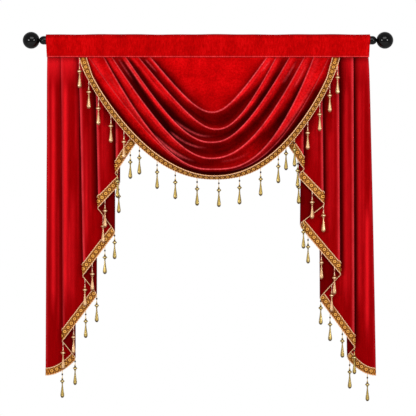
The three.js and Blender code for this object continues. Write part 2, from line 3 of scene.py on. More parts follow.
import bpy
import numpy as np
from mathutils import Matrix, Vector

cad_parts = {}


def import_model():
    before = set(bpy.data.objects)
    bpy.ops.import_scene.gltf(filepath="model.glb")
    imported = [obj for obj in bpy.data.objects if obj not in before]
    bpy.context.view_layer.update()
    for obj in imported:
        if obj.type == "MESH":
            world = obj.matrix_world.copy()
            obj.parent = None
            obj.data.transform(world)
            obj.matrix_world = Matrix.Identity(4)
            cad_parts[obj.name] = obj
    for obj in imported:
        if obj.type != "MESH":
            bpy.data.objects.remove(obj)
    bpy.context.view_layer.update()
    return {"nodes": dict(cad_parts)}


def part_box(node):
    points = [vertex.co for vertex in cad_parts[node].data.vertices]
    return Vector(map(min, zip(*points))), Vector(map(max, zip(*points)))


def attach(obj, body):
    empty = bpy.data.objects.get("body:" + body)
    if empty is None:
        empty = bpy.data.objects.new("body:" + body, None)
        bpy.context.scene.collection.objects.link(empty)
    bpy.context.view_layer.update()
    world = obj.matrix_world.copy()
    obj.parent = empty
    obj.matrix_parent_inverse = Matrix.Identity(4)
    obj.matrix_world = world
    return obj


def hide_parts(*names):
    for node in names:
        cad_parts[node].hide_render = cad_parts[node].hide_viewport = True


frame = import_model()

MM = 0.001  # the sizes below are in millimetres
RANDOM = np.random.default_rng(12)
SCENE = bpy.context.scene

# ----- camera

CAMERA_AWAY = 8.0
VIEW_WIDTH = 1.271  # width of the view at the valance
VIEW_MIDDLE = -0.5124  # height of the middle of the view

camera_data = bpy.data.cameras.new("camera")
camera_data.sensor_width = 36
camera_data.lens = camera_data.sensor_width * CAMERA_AWAY / VIEW_WIDTH
camera_data.clip_end = 50
camera = bpy.data.objects.new("camera", camera_data)
camera.location = (0, -CAMERA_AWAY, VIEW_MIDDLE)
camera.rotation_euler = (pi / 2, 0, 0)
SCENE.collection.objects.link(camera)
SCENE.camera = camera

# ----- sizes, as in the model

CLOTH = 1.2
GAP = 0.3
BRAID_GAP = 0.62
ROD_HALF = 490
HEADER_HALF = 495
HEADER_TOP = 18.7
HEADER_CLOTH = 2 * CLOTH
HEADER_STRIP_TOP = -43
HEADER_BOTTOM = -52
HEADER_FRONT = -12.5
HEADER_TAPER = 3
HEAD_Z = -46
SEAM_Z = -53
BRAID_WIDTH = 23.5
BRAID_CLOTH = 1.2
BRAID_OVERHANG = 2.5
BRAID_LIFT = CLOTH / 2 + BRAID_GAP + BRAID_CLOTH / 2
BRAID_FACE = BRAID_LIFT + BRAID_CLOTH / 2


def lerp(a, b, f):
    return a + (b - a) * f


def ease(start, end, v):
    """From 0 at the start to 1 at the end, slowly at both."""
    f = np.clip((v - start) / (end - start), 0, 1)
    return f * f * (3 - 2 * f)


def unit(v):
    length = np.linalg.norm(v, axis=-1, keepdims=True)
    return v / np.maximum(length, 1e-9)


def bell(off, wide, power=2):
    """1 where off is 0, falling away softly over wide."""
    return np.exp(-((off / wide) ** power))


def waves(v, *parts):
    """A sum of (length, height, phase) waves: soft unevenness along v."""
    return sum(high * np.sin(2 * pi * v / long + phase) for long, high, phase in parts)


# ----- meshes

def linked(name, data):
    """A new object in the scene."""
    obj = bpy.data.objects.new(name, data)
    SCENE.collection.objects.link(obj)
    return obj


def around(sides):
    """Angles about a circle."""
    return np.linspace(0, 2 * pi, sides, endpoint=False)


def add_object(name, vertices, faces, materials, floats, kinds=None):
    mesh = bpy.data.meshes.new(name)
    mesh.from_pydata((np.asarray(vertices) * MM).tolist(), [], np.asarray(faces).tolist())
    for material in materials:
        mesh.materials.append(material)
    if kinds is not None:
        mesh.polygons.foreach_set("material_index", np.asarray(kinds, dtype=np.int32))
    mesh.polygons.foreach_set("use_smooth", [True] * len(mesh.polygons))
    for key, values in floats.items():
        attribute = mesh.attributes.new(key, "FLOAT", "POINT")
        attribute.data.foreach_set("value", np.asarray(values, dtype=np.float32).ravel())
    mesh.update()
    return linked(name, mesh)


def stand_for(obj, node):
    """The piece goes with the root, in place of a node of the model."""
    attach(obj, "root")
    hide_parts(node)


def ring_faces(rings, sides):
    """Faces between rings of points."""
    i, j = np.meshgrid(np.arange(rings - 1), np.arange(sides), indexing="ij")
    a, b = (i * sides + j).ravel(), (i * sides + (j + 1) % sides).ravel()
    return np.stack([a, a + sides, b + sides, b], axis=1)


def join(parts):
    """One mesh of several (points, faces, values), and the number of each face's part."""
    points, faces, values = zip(*parts)
    starts = np.cumsum([0] + [len(p) for p in points])
    numbers = np.repeat(np.arange(len(parts)), [len(f) for f in faces])
    faces = np.concatenate([f + start for f, start in zip(faces, starts)])
    return np.concatenate(points), faces, np.concatenate(values), numbers


def grid_normals(grid):
    """Right-side normals of a grid of rows down the cloth and columns to the right."""
    down = unit(np.gradient(grid, axis=0))
    along = unit(np.gradient(grid, axis=1))
    return unit(np.cross(down, along))


def grid_faces(rows, columns):
    i, j = np.meshgrid(np.arange(rows - 1), np.arange(columns - 1), indexing="ij")
    a = (i * columns + j).ravel()
    return np.stack([a, a + columns, a + columns + 1, a + 1], axis=1)


def sheet_mesh(grid, thickness, lift=0.0):
    """Vertices and faces of a closed sheet whose centre surface is the grid."""
    rows, columns = grid.shape[:2]
    normals = grid_normals(grid)
    front = grid + normals * (lift + thickness / 2)
    back = grid + normals * (lift - thickness / 2)
    vertices = np.concatenate([front.reshape(-1, 3), back.reshape(-1, 3)])
    half = rows * columns
    ring = np.concatenate([
        np.arange(columns),
        columns * np.arange(1, rows) + columns - 1,
        (rows - 1) * columns + np.arange(columns - 2, -1, -1),
        columns * np.arange(rows - 2, 0, -1),
    ])
    after = np.roll(ring, -1)
    rim = np.stack([ring, after, after + half, ring + half], axis=1)
    faces = grid_faces(rows, columns)
    return vertices, np.concatenate([faces, faces[:, ::-1] + half, rim])


def steps_along(points):
    return np.linalg.norm(np.diff(points, axis=0), axis=1)


def both(values):
    """Values of a grid for the two sides of its sheet."""
    flat = np.asarray(values).ravel()
    return np.concatenate([flat, flat])


def hang(name, node, grid, thickness, material, lift, line, deep):
    """A velvet sheet with its painted light and shade, in place of a node of the model."""
    vertices, faces = sheet_mesh(grid, thickness)
    floats = {"lift": both(lift), "line": both(line), "deep": both(deep)}
    obj = add_object(name, vertices, faces, [material], floats)
    stand_for(obj, node)
    return obj


def through(points, steps):
    """Smooth rows through control rows, and the place of each, as a control row and a share.

    points is a list of (n, 3) arrays, and steps has a count for each gap between two of them.
    """
    p = np.stack(points)
    gaps = np.maximum(np.linalg.norm(np.diff(p, axis=0), axis=2), 1e-3) ** 0.5
    slopes = np.diff(p, axis=0) / gaps[:, :, None]
    tangents = np.empty_like(p)
    tangents[0], tangents[-1] = slopes[0], slopes[-1]
    before, after = gaps[:-1, :, None], gaps[1:, :, None]
    tangents[1:-1] = (slopes[:-1] * after + slopes[1:] * before) / (before + after)
    rows, places = [], []
    for k, count in enumerate(steps):
        last = k == len(steps) - 1
        for f in np.arange(count + (1 if last else 0)) / count:
            g = gaps[k][:, None]
            rows.append(
                (2 * f**3 - 3 * f**2 + 1) * p[k] + (f**3 - 2 * f**2 + f) * g * tangents[k]
                + (3 * f**2 - 2 * f**3) * p[k + 1] + (f**3 - f**2) * g * tangents[k + 1]
            )
            places.append(k + f)
    return np.stack(rows), np.array(places)


# ----- materials

def linear(*colours):
    """Linear colours of sRGB ones out of 255."""
    v = np.array(colours) / 255
    v = np.where(v <= 0.04045, v / 12.92, ((v + 0.055) / 1.055) ** 2.4)
    return [(*colour, 1) for colour in v.tolist()]


NOISE = (0.3, 0.7)  # between these lies most of what a noise texture gives


class Nodes:
    """A material's node tree around its principled shader."""

    def __init__(self, name):
        self.material = bpy.data.materials.new(name)
        self.material.use_nodes = True
        self.tree = self.material.node_tree
        self.shader = next(n for n in self.tree.nodes if n.type == "BSDF_PRINCIPLED")

    def add(self, kind, **settings):
        node = self.tree.nodes.new("ShaderNode" + kind)
        for key, value in settings.items():
            setattr(node, key, value)
        return node

    def put(self, socket, value):
        if isinstance(value, bpy.types.NodeSocket):
            self.tree.links.new(value, socket)
        else:
            socket.default_value = value

    def fill(self, node, **values):
        for key, value in values.items():
            self.put(node.inputs[key.replace("_", " ")], value)

    def set(self, **values):
        self.fill(self.shader, **values)

    def value(self, attribute):
        return self.add("Attribute", attribute_name=attribute).outputs["Fac"]

    def grey(self, value):
        node = self.add("CombineColor")
        for socket in node.inputs[:3]:
            self.put(socket, value)
        return node.outputs[0]

    def math(self, operation, a, b, clamp=False):
        node = self.add("Math", operation=operation, use_clamp=clamp)
        self.put(node.inputs[0], a)
        self.put(node.inputs[1], b)
        return node.outputs[0]

    def plus(self, a, b, clamp=False):
        return self.math("ADD", a, b, clamp)

    def times(self, a, b, clamp=False):
        return self.math("MULTIPLY", a, b, clamp)

    def mix(self, factor, a, b, blend="MIX"):
        node = self.add("Mix", data_type="RGBA", blend_type=blend)
        self.put(node.inputs[0], factor)
        self.put(node.inputs[6], a)
        self.put(node.inputs[7], b)
        return node.outputs[2]

    def place(self, scale):
        mapping = self.add("Mapping")
        self.fill(mapping, Vector=self.add("TexCoord").outputs["Object"], Scale=scale)
        return mapping.outputs["Vector"]

    def noise(self, scale, stretch=(1, 1, 1), detail=2.0, roughness=0.5):
        node = self.add("TexNoise")
        self.fill(node, Vector=self.place(stretch), Scale=scale, Detail=detail, Roughness=roughness)
        return node.outputs["Fac"]

    def spread(self, value, low, high, to_low=0.0, to_high=1.0):
        node = self.add("MapRange")
        for socket, v in zip(node.inputs, (value, low, high, to_low, to_high)):
            self.put(socket, v)
        return node.outputs[0]

    def bump(self, height, distance, strength=1.0):
        node = self.add("Bump")
        self.fill(node, Strength=strength, Distance=distance, Height=height)
        self.set(Normal=node.outputs["Normal"])


PILE_SCALE = 900
PATCH_SCALE = 170
CLOUD_SCALE = 22
EYE_POWER = 2.2  # half of deep then looks about half as bright
VELVET_SHADE = (0.72, 1.24)
PILE_SHADE = (0.9, 1.1)


def velvet(name, base, dark, bright, line, streak=(1, 1, 1), mottle=0.25):
    """Velvet with painted highlights on crests and pleat edges, painted shade in hollows, and a fine uneven
    pile.
    """
    base, dark, bright, line = linear(base, dark, bright, line)
    n = Nodes(name)
    pile = n.noise(PILE_SCALE, detail=3, roughness=0.7)
    patches = n.noise(PATCH_SCALE, streak, detail=3, roughness=0.65)
    clouds = n.noise(CLOUD_SCALE, streak, detail=2)
    fine = n.times(n.spread(patches, *NOISE, -1, 1), mottle)
    broad = n.times(n.spread(clouds, *NOISE, -1, 1), mottle * 0.6)
    tone = n.plus(fine, broad)
    # painted highlight on crests, from lift, then painted shade in hollows, from deep
    lift = n.plus(n.value("lift"), n.times(tone, 0.25), clamp=True)
    colour = n.mix(lift, base, bright)
    left = n.math("POWER", n.math("SUBTRACT", 1.0, n.value("deep"), clamp=True), EYE_POWER)
    colour = n.mix(left, dark, colour)
    # painted highlight along the pleat edges, a little uneven
    painted_edge_light = n.times(n.value("line"), n.spread(patches, 0.25, 0.6, 0.6, 1))
    colour = n.mix(painted_edge_light, colour, line)
    uneven = n.spread(tone, -0.5, 0.5, *VELVET_SHADE)
    shade = n.times(uneven, n.spread(pile, 0.2, 0.8, *PILE_SHADE))
    colour = n.mix(1.0, colour, n.grey(shade), "MULTIPLY")
    n.set(Base_Color=colour, Roughness=n.spread(patches, *NOISE, 0.5, 0.62), Metallic=0.25)
    n.set(Specular_IOR_Level=0.0, Sheen_Weight=0.06, Sheen_Roughness=0.4, Sheen_Tint=(1, 0.25, 0.25, 1))
    n.bump(n.plus(pile, n.times(patches, 1.5)), 0.0006, 0.5)
    return n.material


# colours: base, painted shade in hollows, painted highlight on crests, painted highlight on pleat edges
HEADER_VELVET = velvet("velvet_header", (176, 3, 4), (30, 0, 1), (200, 24, 28), (224, 70, 74),
                       streak=(1.4, 1, 0.4), mottle=0.46)
SWAG_VELVET = velvet("velvet_swag", (180, 3, 5), (24, 0, 0), (208, 20, 25), (226, 76, 82), mottle=0.5)
TAIL_VELVET = velvet("velvet_tails", (138, 1, 4), (24, 0, 0), (206, 18, 26), (206, 48, 56),
                     streak=(1, 1, 0.12), mottle=0.16)


def gloss_black():
    """Black lacquer, a little uneven."""
    n = Nodes("rod_black")
    wear = n.noise(90, detail=4)
    colour = n.mix(wear, (0.0005, 0.0005, 0.0005, 1), (0.002, 0.002, 0.002, 1))
    n.set(Base_Color=colour, Roughness=n.spread(wear, *NOISE, 0.05, 0.09), Specular_IOR_Level=0.24)
    n.bump(wear, 0.0002, 0.3)
    return n.material


def gold_thread(name, light, mid, dark, scale):
    """Woven or twisted thread: partly its pattern, partly painted light on its crests and painted shade in
    its hollows.
    """
    light, mid, dark = linear(light, mid, dark)
    n = Nodes(name)
    fibre = n.noise(scale, detail=3, roughness=0.7)
    high = n.value("lift")
    crest = n.times(n.spread(high, 0.6, 1), n.spread(fibre, 0.3, 0.6), clamp=True)
    colour = n.mix(crest, n.mix(high, dark, mid), light)
    n.set(Base_Color=colour, Roughness=n.spread(fibre, *NOISE, 0.4, 0.6))
    n.set(Metallic=0.2, Specular_IOR_Level=0.12)
    n.bump(fibre, 0.0004, 0.6)
    return n.material


ROD_BLACK = gloss_black()
# colours: crests, a painted highlight; middle; hollows, partly the braid's own dark and partly painted shade
BRAID_GROUND = gold_thread("braid_ground", (246, 182, 84), (200, 120, 36), (66, 20, 3), 1500)
BRAID_ROSETTE = gold_thread("braid_rosette", (250, 208, 116), (230, 144, 48), (54, 14, 2), 1500)
BRAID_CORD = gold_thread("braid_cord", (255, 238, 204), (252, 206, 150), (190, 76, 48), 1800)


# lightness above which a bead shows its painted highlight colour
SHINES_FROM = 0.75
GLASS_IOR = 1.49


def bead(name, shine, light, dark, roughness):
    """Cut glass, with painted shade at its edges, painted light in its facets and a painted highlight where a
    facet faces the room.
    """
    shine, light, dark = linear(shine, light, dark)
    n = Nodes(name)
    cloud = n.noise(260, detail=2)
    facet = n.value("facet")
    shown = n.spread(facet, 0, SHINES_FROM, 0, 0.9)
    amount = n.plus(shown, n.times(cloud, 0.1), clamp=True)
    colour = n.mix(n.spread(facet, SHINES_FROM, 1), n.mix(amount, dark, light), shine)
    n.set(Base_Color=colour, Roughness=roughness, IOR=GLASS_IOR, Metallic=0.3)
    n.set(Coat_Weight=0.3, Coat_Roughness=0.08)
    n.bump(cloud, 0.0003, 0.2)
    return n.material


# (gold, dark bead, seeds) of a drop hanging clear of the cloth, and of one in front of it
# each bead: painted highlight colour, light colour, painted shade at its edges, roughness
BEADS_CLEAR = [
    bead("bead_gold", (255, 246, 214), (216, 184, 90), (62, 40, 6), 0.25),
    bead("bead_dark", (150, 110, 70), (80, 54, 36), (26, 14, 8), 0.3),
    bead("bead_seed", (236, 200, 130), (206, 152, 76), (110, 70, 30), 0.3),
]
# lit copies for drops in front of the cloth, painted lighter and pinker with the red cloth's light
BEADS_ON_CLOTH = [
    bead("bead_gold_lit", (255, 248, 230), (248, 206, 148), (140, 78, 40), 0.25),
    bead("bead_dark_lit", (220, 140, 104), (176, 96, 70), (90, 24, 20), 0.3),
    bead("bead_seed_lit", (255, 236, 210), (255, 196, 150), (180, 90, 70), 0.3),
]

# ----- rod and finials

for slot in frame["nodes"]["rod"].material_slots:
    slot.material = ROD_BLACK

COLLAR_PROFILE = [(0, 0.01), (0, 11.2), (0.6, 12.2), (4, 13), (14, 13), (20, 11), (23.5, 7), (25, 4.2)]
BALL_RADIUS = 25.8
BALL_AT = 50
BALL_STARTS = 0.28
FINIAL_SIDES = 64
BALL_STEPS = 40


def lathe(profile, sides, axis_at, flip):
    """Turned solid about the X axis from (distance, radius) pairs."""
    rings = np.array([[(at, r * cos(a), r * sin(a)) for a in around(sides)] for at, r in profile])
    rings[:, :, 0] = axis_at + (-1 if flip else 1) * rings[:, :, 0]
    faces = np.roll(ring_faces(len(profile), sides), -1, axis=1)  # the roll sets the faces' diagonals
    return rings.reshape(-1, 3), faces[:, ::-1] if flip else faces


def finial(name, node, side):
    profile = COLLAR_PROFILE[:1]
    for (a0, r0), (a1, r1) in zip(COLLAR_PROFILE, COLLAR_PROFILE[1:]):
        profile += [(lerp(a0, a1, f), lerp(r0, r1, f)) for f in (0.33, 0.66, 1)]
    angles = np.linspace(BALL_STARTS, pi - 0.001, BALL_STEPS)
    profile += [(BALL_AT - BALL_RADIUS * cos(a), BALL_RADIUS * sin(a)) for a in angles]
    vertices, faces = lathe(profile, FINIAL_SIDES, side * (ROD_HALF + GAP), side < 0)
    stand_for(add_object(name, vertices, faces, [ROD_BLACK], {}), node)


finial("finial_turned_left", "finial_left", -1)
finial("finial_turned_right", "finial_right", 1)

# ----- header sleeve

# rows of the grid up the strip, from it to the sleeve, over the rod and down the back
STRIP_ROWS = 10
RISE_ROWS = 16
SLEEVE_ROWS = 34
BACK_ROWS = 14
FRONT_ROWS = 34  # those that face the room
HEADER_COLUMNS = 300
SLEEVE_TURN = (pi * 1.03, -0.5)  # over the rod, from the front to the back
FOOT_IN = 1.4  # the back's foot, behind the strip and above its top


def straight(start, end, ways):
    """Points of a section at these shares of the way between two points."""
    return [(lerp(start[0], end[0], f), lerp(start[1], end[1], f)) for f in ways]


def header_grid():
    """Centre surface of the doubled band, from the foot of the strip up, over and down the back."""
    middle = HEADER_TOP - HEADER_CLOTH / 2
    front = HEADER_FRONT + HEADER_CLOTH / 2
    foot = (HEADER_FRONT + HEADER_CLOTH + FOOT_IN, HEADER_STRIP_TOP + FOOT_IN)
    sleeve = [(middle * cos(a), middle * sin(a)) for a in np.linspace(*SLEEVE_TURN, SLEEVE_ROWS)]
    section = [(front, z) for z in np.linspace(HEADER_BOTTOM, HEADER_STRIP_TOP, STRIP_ROWS)]
    section += straight((front, HEADER_STRIP_TOP), sleeve[0], np.linspace(0.1, 0.9, RISE_ROWS))
    section += sleeve
    section += straight(sleeve[-1], foot, np.linspace(0.08, 1, BACK_ROWS))
    x = np.linspace(-HEADER_HALF, HEADER_HALF, HEADER_COLUMNS)
    y, z = np.array(section).T
    low = np.clip((HEADER_TOP - z) / (HEADER_TOP - HEADER_BOTTOM), 0, 1)
    grid = np.empty((len(section), len(x), 3))
    grid[:, :, 0] = x[None, :] * (1 - HEADER_TAPER * low[:, None] / HEADER_HALF)
    slack = np.sin(pi * low)[:, None] * (np.arange(len(section)) < FRONT_ROWS)[:, None]
    grid[:, :, 1] = y[:, None] + slack * waves(x, (230, 0.7, 0.4), (141, 0.5, 2.0), (67, 0.25, 1.0))[None, :]
    high = ease(0, HEADER_TOP, z)[:, None]
    grid[:, :, 2] = z[:, None] + high * (waves(x, (310, 0.5, 1.0), (120, 0.35, 0.2)) - 0.4)[None, :]
    return grid


FOOT_LINE = dict(up=1.2, wide=1.6, strong=0.8)  # the painted light line along the strip's foot
FOOT_SHADE = dict(up=5.5, wide=2.2, strong=0.1)  # and the soft painted shade above it
TOP_SHADE = dict(start=15.6, full=17.4, strong=0.5)


def build_header():
    grid = header_grid()
    x, z = grid[:, :, 0], grid[:, :, 2]
    up = z - HEADER_BOTTOM
    line = bell(up - FOOT_LINE["up"], FOOT_LINE["wide"]) * (0.75 + 0.25 * np.sin(x * 0.9))
    # painted light towards the band's ends and near its top
    lift = 0.12 * ease(470, HEADER_HALF, np.abs(x)) + 0.1 * ease(10, 18, z)
    # painted shade above the foot line and along the top edge
    deep = FOOT_SHADE["strong"] * bell(up - FOOT_SHADE["up"], FOOT_SHADE["wide"])
    deep += TOP_SHADE["strong"] * ease(TOP_SHADE["start"], TOP_SHADE["full"], z)
    line *= FOOT_LINE["strong"]
    obj = hang("header_band", "header", grid, HEADER_CLOTH, HEADER_VELVET, lift, line, deep)


build_header()

# ----- swag

SWAG_HEAD_Y = -8.2
SWAG_REACH = 70
SEAM_TURN = 20
# of each pleat edge: its lowest (x, z), how far out it is, how deep the trough above it is at its middle
# and at its sides, and (end, bend, power, turn) of each half, as in edge_rise
EDGE_PARTS = ("low", "out", "middle", "side", "left", "right")
SWAG_EDGES = [dict(zip(EDGE_PARTS, row)) for row in (
    ((12, -221), 26, 2, 9, (-176, 2.6, 1, 0), (180, 3, 1.1, 0)),
    ((25, -273), 38, 20, 15, (-212, 3.6, 1.05, 0), (208, 2.8, 1.2, 0)),
    ((10, -313), 47, 18, 16, (-251, 2.4, 1.1, 0), (249, 3.2, 1.25, 0)),
    ((8, -362), 55, 21, 17, (-293, 1.8, 1, 0), (294, 1.6, 1.15, 0)),
    ((14, -395), 60, 15, 15, (-318, 3.4, 1.4, 0), (323, 1.2, 1.4, 0)),
    ((14, -403), 60, 0.5, 7, (-363, 3.4, 1.2, 0), (369, 1.4, 1.35, 0)),
    ((18.5, -418), 56, 6, 9, (-382.5, 0.2, 1.03, 0.07), (391, 0.2, 1.13, 0.07)),
)]
HEAD_ROW_HALF = 170
TILT_MIDDLE = radians(60)
TILT_SIDE = radians(40)
SIDE_TILT_FROM = 0.42
LEVEL_FROM = 0.93
TROUGH_MIDDLE = [(0.2, 0.62), (0.46, 1), (0.8, 0.55), (1, 0)]
TROUGH_SIDE = [(0.55, 0.06), (1.15, 0.75), (0.95, 1), (1, 0)]
ROLL_WIDTH = 14
ROLL_SHARE = 0.56
TROUGH_WIDTH = 1.3
HEAD_TROUGH = 1.6
SIDE_FROM = 0.2
SIDE_TO = 0.6
FLAT_ROWS = [0.05, 0.35, 0.65, 0.86]
FLAT_HOLLOW_FROM = 0.2
FLAT_LEAN = 1.5
HEAD_SPREAD = 1.006
DIRECTION_STEP = 0.004


def edge_rise(side, t):
    _, bend, power, turn = side
    bowl = (np.hypot(1, bend * t) - 1) / (np.hypot(1, bend) - 1)
    return (1 - turn) * bowl**power + turn * t**SEAM_TURN


def swell(z, reach):
    return 1 - np.exp(-np.maximum(0, SEAM_Z - z) / reach)


def edge_point(edge, u):
    """Points of a pleat edge, at u from -1 at its left end to 1 at its right end."""
    t = np.abs(u)
    rise = np.where(u < 0, edge_rise(edge["left"], t), edge_rise(edge["right"], t))
    end = np.where(u < 0, edge["left"][0], edge["right"][0])
    x = lerp(edge["low"][0], end, t)
    z = lerp(edge["low"][1], SEAM_Z, rise)
    return np.stack([x, SWAG_HEAD_Y - edge["out"] * swell(z, SWAG_REACH), z], axis=-1)


def edge_direction(edge, u):
    ahead = edge_point(edge, np.minimum(u + DIRECTION_STEP, 1))
    return unit(ahead - edge_point(edge, np.maximum(u - DIRECTION_STEP, -1)))


def hem_frame(u):
    """Middle line of the braid's strip, and the way up from it in the strip."""
    edge = SWAG_EDGES[-1]
    centre = edge_point(edge, u)
    along = edge_direction(edge, u)
    room = np.array([0.0, -1.0, 0.0])
    level = np.stack([np.sign(-u), 0 * u, 0 * u], axis=-1)
    square = unit(np.cross(np.broadcast_to(room, along.shape), along))
    ending = ease(LEVEL_FROM, 1, np.abs(u))[:, None]
    upright = unit(lerp(square, level, ending))
    tilt = (1 - ending) * lerp(TILT_MIDDLE, TILT_SIDE, ease(0, SIDE_TILT_FROM, np.abs(u)))[:, None]
    return centre, unit(upright * np.cos(tilt) + room * np.sin(tilt))


def trough_points(upper, lower, edge, u):
    """Control rows of a trough, and its width square to the pleat edge."""
    side = ease(SIDE_FROM, SIDE_TO, np.abs(u))
    full = lerp(edge["middle"], edge["side"], side)
    across = np.linalg.norm(np.cross(lower - upper, edge_direction(edge, u)), axis=-1)
    depth = full * np.tanh(across / (TROUGH_WIDTH * full))
    roll = np.minimum(ROLL_SHARE, ROLL_WIDTH / np.maximum(across, 1e-3))
    points = []
    for i, (at_middle, at_side) in enumerate(zip(TROUGH_MIDDLE, TROUGH_SIDE)):
        middle_way, middle_deep = at_middle
        side_way, side_deep = at_side
        way = lerp(middle_way, side_way * roll if i < 2 else side_way, side)
        point = lerp(upper, lower, way[:, None])
        deep = lerp(middle_deep, side_deep, side)
        point[:, 1] += deep * lerp(HEAD_TROUGH, depth, swell(point[:, 2], SWAG_REACH / 1.5))
        points.append(point)
    return points, across


def swag_rows(u):
    """Control rows of the swag, and for each trough its two pleat edges and its width."""
    first = edge_point(SWAG_EDGES[0], u)
    head = np.stack([HEAD_ROW_HALF * u, np.full_like(u, SWAG_HEAD_Y), np.full_like(u, HEAD_Z)], axis=-1)
    rows = [head]
    for way in FLAT_ROWS:
        point = lerp(head, first, way)
        trough = lerp(SWAG_EDGES[0]["middle"], SWAG_EDGES[0]["side"], np.abs(u))
        point[:, 1] = SWAG_HEAD_Y + (first[:, 1] - SWAG_HEAD_Y) * way**FLAT_LEAN
        hollow = ease(FLAT_HOLLOW_FROM, FLAT_ROWS[-1], way)
        point[:, 1] += trough * swell(point[:, 2], SWAG_REACH) * hollow
        rows.append(point)
    rows.append(first)
    troughs = []
    centre, up = hem_frame(u)
    lowers = [edge_point(edge, u) for edge in SWAG_EDGES[1:-1]] + [centre + up * (BRAID_WIDTH / 2 - 1)]
    upper = first
    for edge, lower in zip(SWAG_EDGES[1:], lowers):
        points, across = trough_points(upper, lower, edge, u)
        rows += points
        troughs.append((upper, lower, across))
        upper = lower
    rows += [centre, centre + up * (BRAID_OVERHANG - BRAID_WIDTH / 2)]
    return rows, troughs


# how light lies on the swag, at these places from its left end, -1, to its right end, 1
LIGHT_AT = [-0.97, -0.86, -0.7, -0.42, 0, 0.38, 0.68, 0.86, 0.95]
FLAT_DARK = [0.56, 0.6, 0.66, 0.55, 0.16, 0.22, 0.36, 0.32, 0.3]
FLAT_WIDE = [17, 18, 20, 22, 50, 26, 20, 18, 16]  # mm above the first pleat edge
# for each trough, in mm below its upper pleat edge: where the lit roll ends (roll), where the hollow is
# darkest (full) and where the roll catches most light (shine); how dark it is, and how much lighter
# again just above the next edge (rise)
SWAG_LIGHT = [
    dict(roll=[3, 3, 4, 4, -12, 1, 12, 16, 12], full=[18, 20, 24, 24, 22, 20, 30, 36, 33],
         dark=[0.55, 0.65, 0.64, 0.7, 0.5, 0.6, 0.68, 0.5, 0.4], rise=[0, 0, 0, 0.2, 0.7, 0.6, 0.1, 0, 0],
         shine=[2, 2, 2, 2, 0, 2, 9, 9, 7]),
    dict(roll=[18, 18, 15, 8, -10, 4, 9, 11, 8], full=[27, 27, 33, 34, 18, 17, 22, 24, 24],
         dark=[0.62, 0.62, 0.68, 0.8, 0.54, 0.77, 0.77, 0.66, 0.5], rise=[0, 0, 0, 0.05, 0.6, 0.2, 0.1, 0, 0],
         shine=[15, 15, 14, 5, 0, 3, 9, 9, 7]),
    dict(roll=[7, 6, 7, 5, -10, 5, 12, 13, 13], full=[14, 15, 18, 24, 18, 18, 26, 26, 26],
         dark=[0.55, 0.75, 0.8, 0.84, 0.5, 0.58, 0.72, 0.6, 0.35],
         rise=[0.5, 0.3, 0.1, 0.05, 0.7, 0.6, 0.35, 0.15, 0.4], shine=[3, 4, 6, 3, 0, 3, 9, 11, 10]),
    dict(roll=[14, 13, 13, 9, -10, 2, 11, 13, 15], full=[22, 26, 34, 32, 18, 9, 30, 32, 27],
         dark=[0.58, 0.69, 0.69, 0.82, 0.52, 0.24, 0.76, 0.68, 0.32], rise=[0, 0, 0, 0.05, 0.5, 0.6, 0, 0, 0],
         shine=[10, 10, 11, 7, 0, 2, 9, 11, 9]),
]
# the last panel and the strip under it are shaded from the braid up
PANEL_DARK = [0.3, 0.66, 0.7, 0.68, 0.84, 0.66, 0.72, 0.64, 0.3]
PANEL_CLEAR = [12, 20, 23, 25, 30, 33, 40, 36, 16]
PANEL_SHINE = [28, 28, 21, 11, 0, 5, 9, 12, 12]
# small creases: (trough, from u, to u, way across at each end, wide, high, shine)
SWAG_CREASES = [
    (0, -0.99, -0.8, 0.56, 0.46, 2.2, 1.2, 0.35), (1, -0.46, 0.02, 0.97, 0.5, 2.4, 1.4, 0.5),
    (2, -1.0, -0.7, 0.2, 0.22, 2.0, 1.0, 0.55), (2, -1.0, -0.82, 0.58, 0.6, 2.0, 1.2, 0.3),
    (2, -0.44, -0.02, 0.84, 0.28, 2.4, 1.4, 0.45), (3, -0.56, -0.14, 1.0, 0.5, 2.4, 1.4, 0.7),
    (3, -0.5, -0.24, 0.98, 0.74, 2.0, 1.0, 0.4), (3, 0.08, 0.42, 0.3, 0.62, 3.0, 1.2, 0.12),
    (0, 0.84, 0.99, 0.4, 0.55, 2.2, 1.0, 0.35), (2, 0.82, 0.99, 0.5, 0.6, 2.2, 1.0, 0.35),
    (3, 0.84, 0.99, 0.45, 0.55, 2.2, 1.0, 0.35), (4, -0.95, -0.45, 0.45, 0.35, 4.0, 1.4, 0.1),
    (4, 0.55, 0.97, 0.62, 0.78, 3.0, 1.6, 0.2),
]

PANEL = len(SWAG_LIGHT)  # number of the last panel; the strip under it comes next
TROUGH_ROWS = len(TROUGH_MIDDLE)
FLAT_FADE = 1.6
FLAT_LINE = 1.2
EDGE_LINE = 1.35  # on a pleat edge
UNDER_LINE = 1.1  # and where the next trough meets it
FAINT = 0.4
ROLL_SHINE = 3.6
PANEL_SHINE_WIDE = 6
RISE_ABOVE = (1, 18)
EDGE_CLEAR = 1.8


def listed(u, values):
    """Values of a list for LIGHT_AT, at places u."""
    return np.interp(u, LIGHT_AT, values)


def crease_at(u, way, across, ends, ways, wide):
    """How strongly a small crease shows at points of its trough."""
    f = (u - ends[0]) / (ends[1] - ends[0])
    fade = ease(0, 0.2, f) * (1 - ease(0.5, 1, f))
    off = (way - lerp(ways[0], ways[1], np.clip(f, 0, 1))) * across
    return fade * bell(off, wide)


def hollow_light(light, u, below, above):
    """Shade and shine of a trough, by the distances below its upper and above its lower edge."""
    roll, full = listed(u, light["roll"]), listed(u, light["full"])
    fall = np.clip((below - roll) / (full - roll), 0, 1)
    fall = lerp(fall, ease(0, 1, fall), 0.5)
    lighter = listed(u, light["rise"]) * (1 - ease(*RISE_ABOVE, above))
    shade = listed(u, light["dark"]) * fall * (1 - lighter)
    return shade * ease(0, EDGE_CLEAR, above), bell(below - listed(u, light["shine"]), ROLL_SHINE)


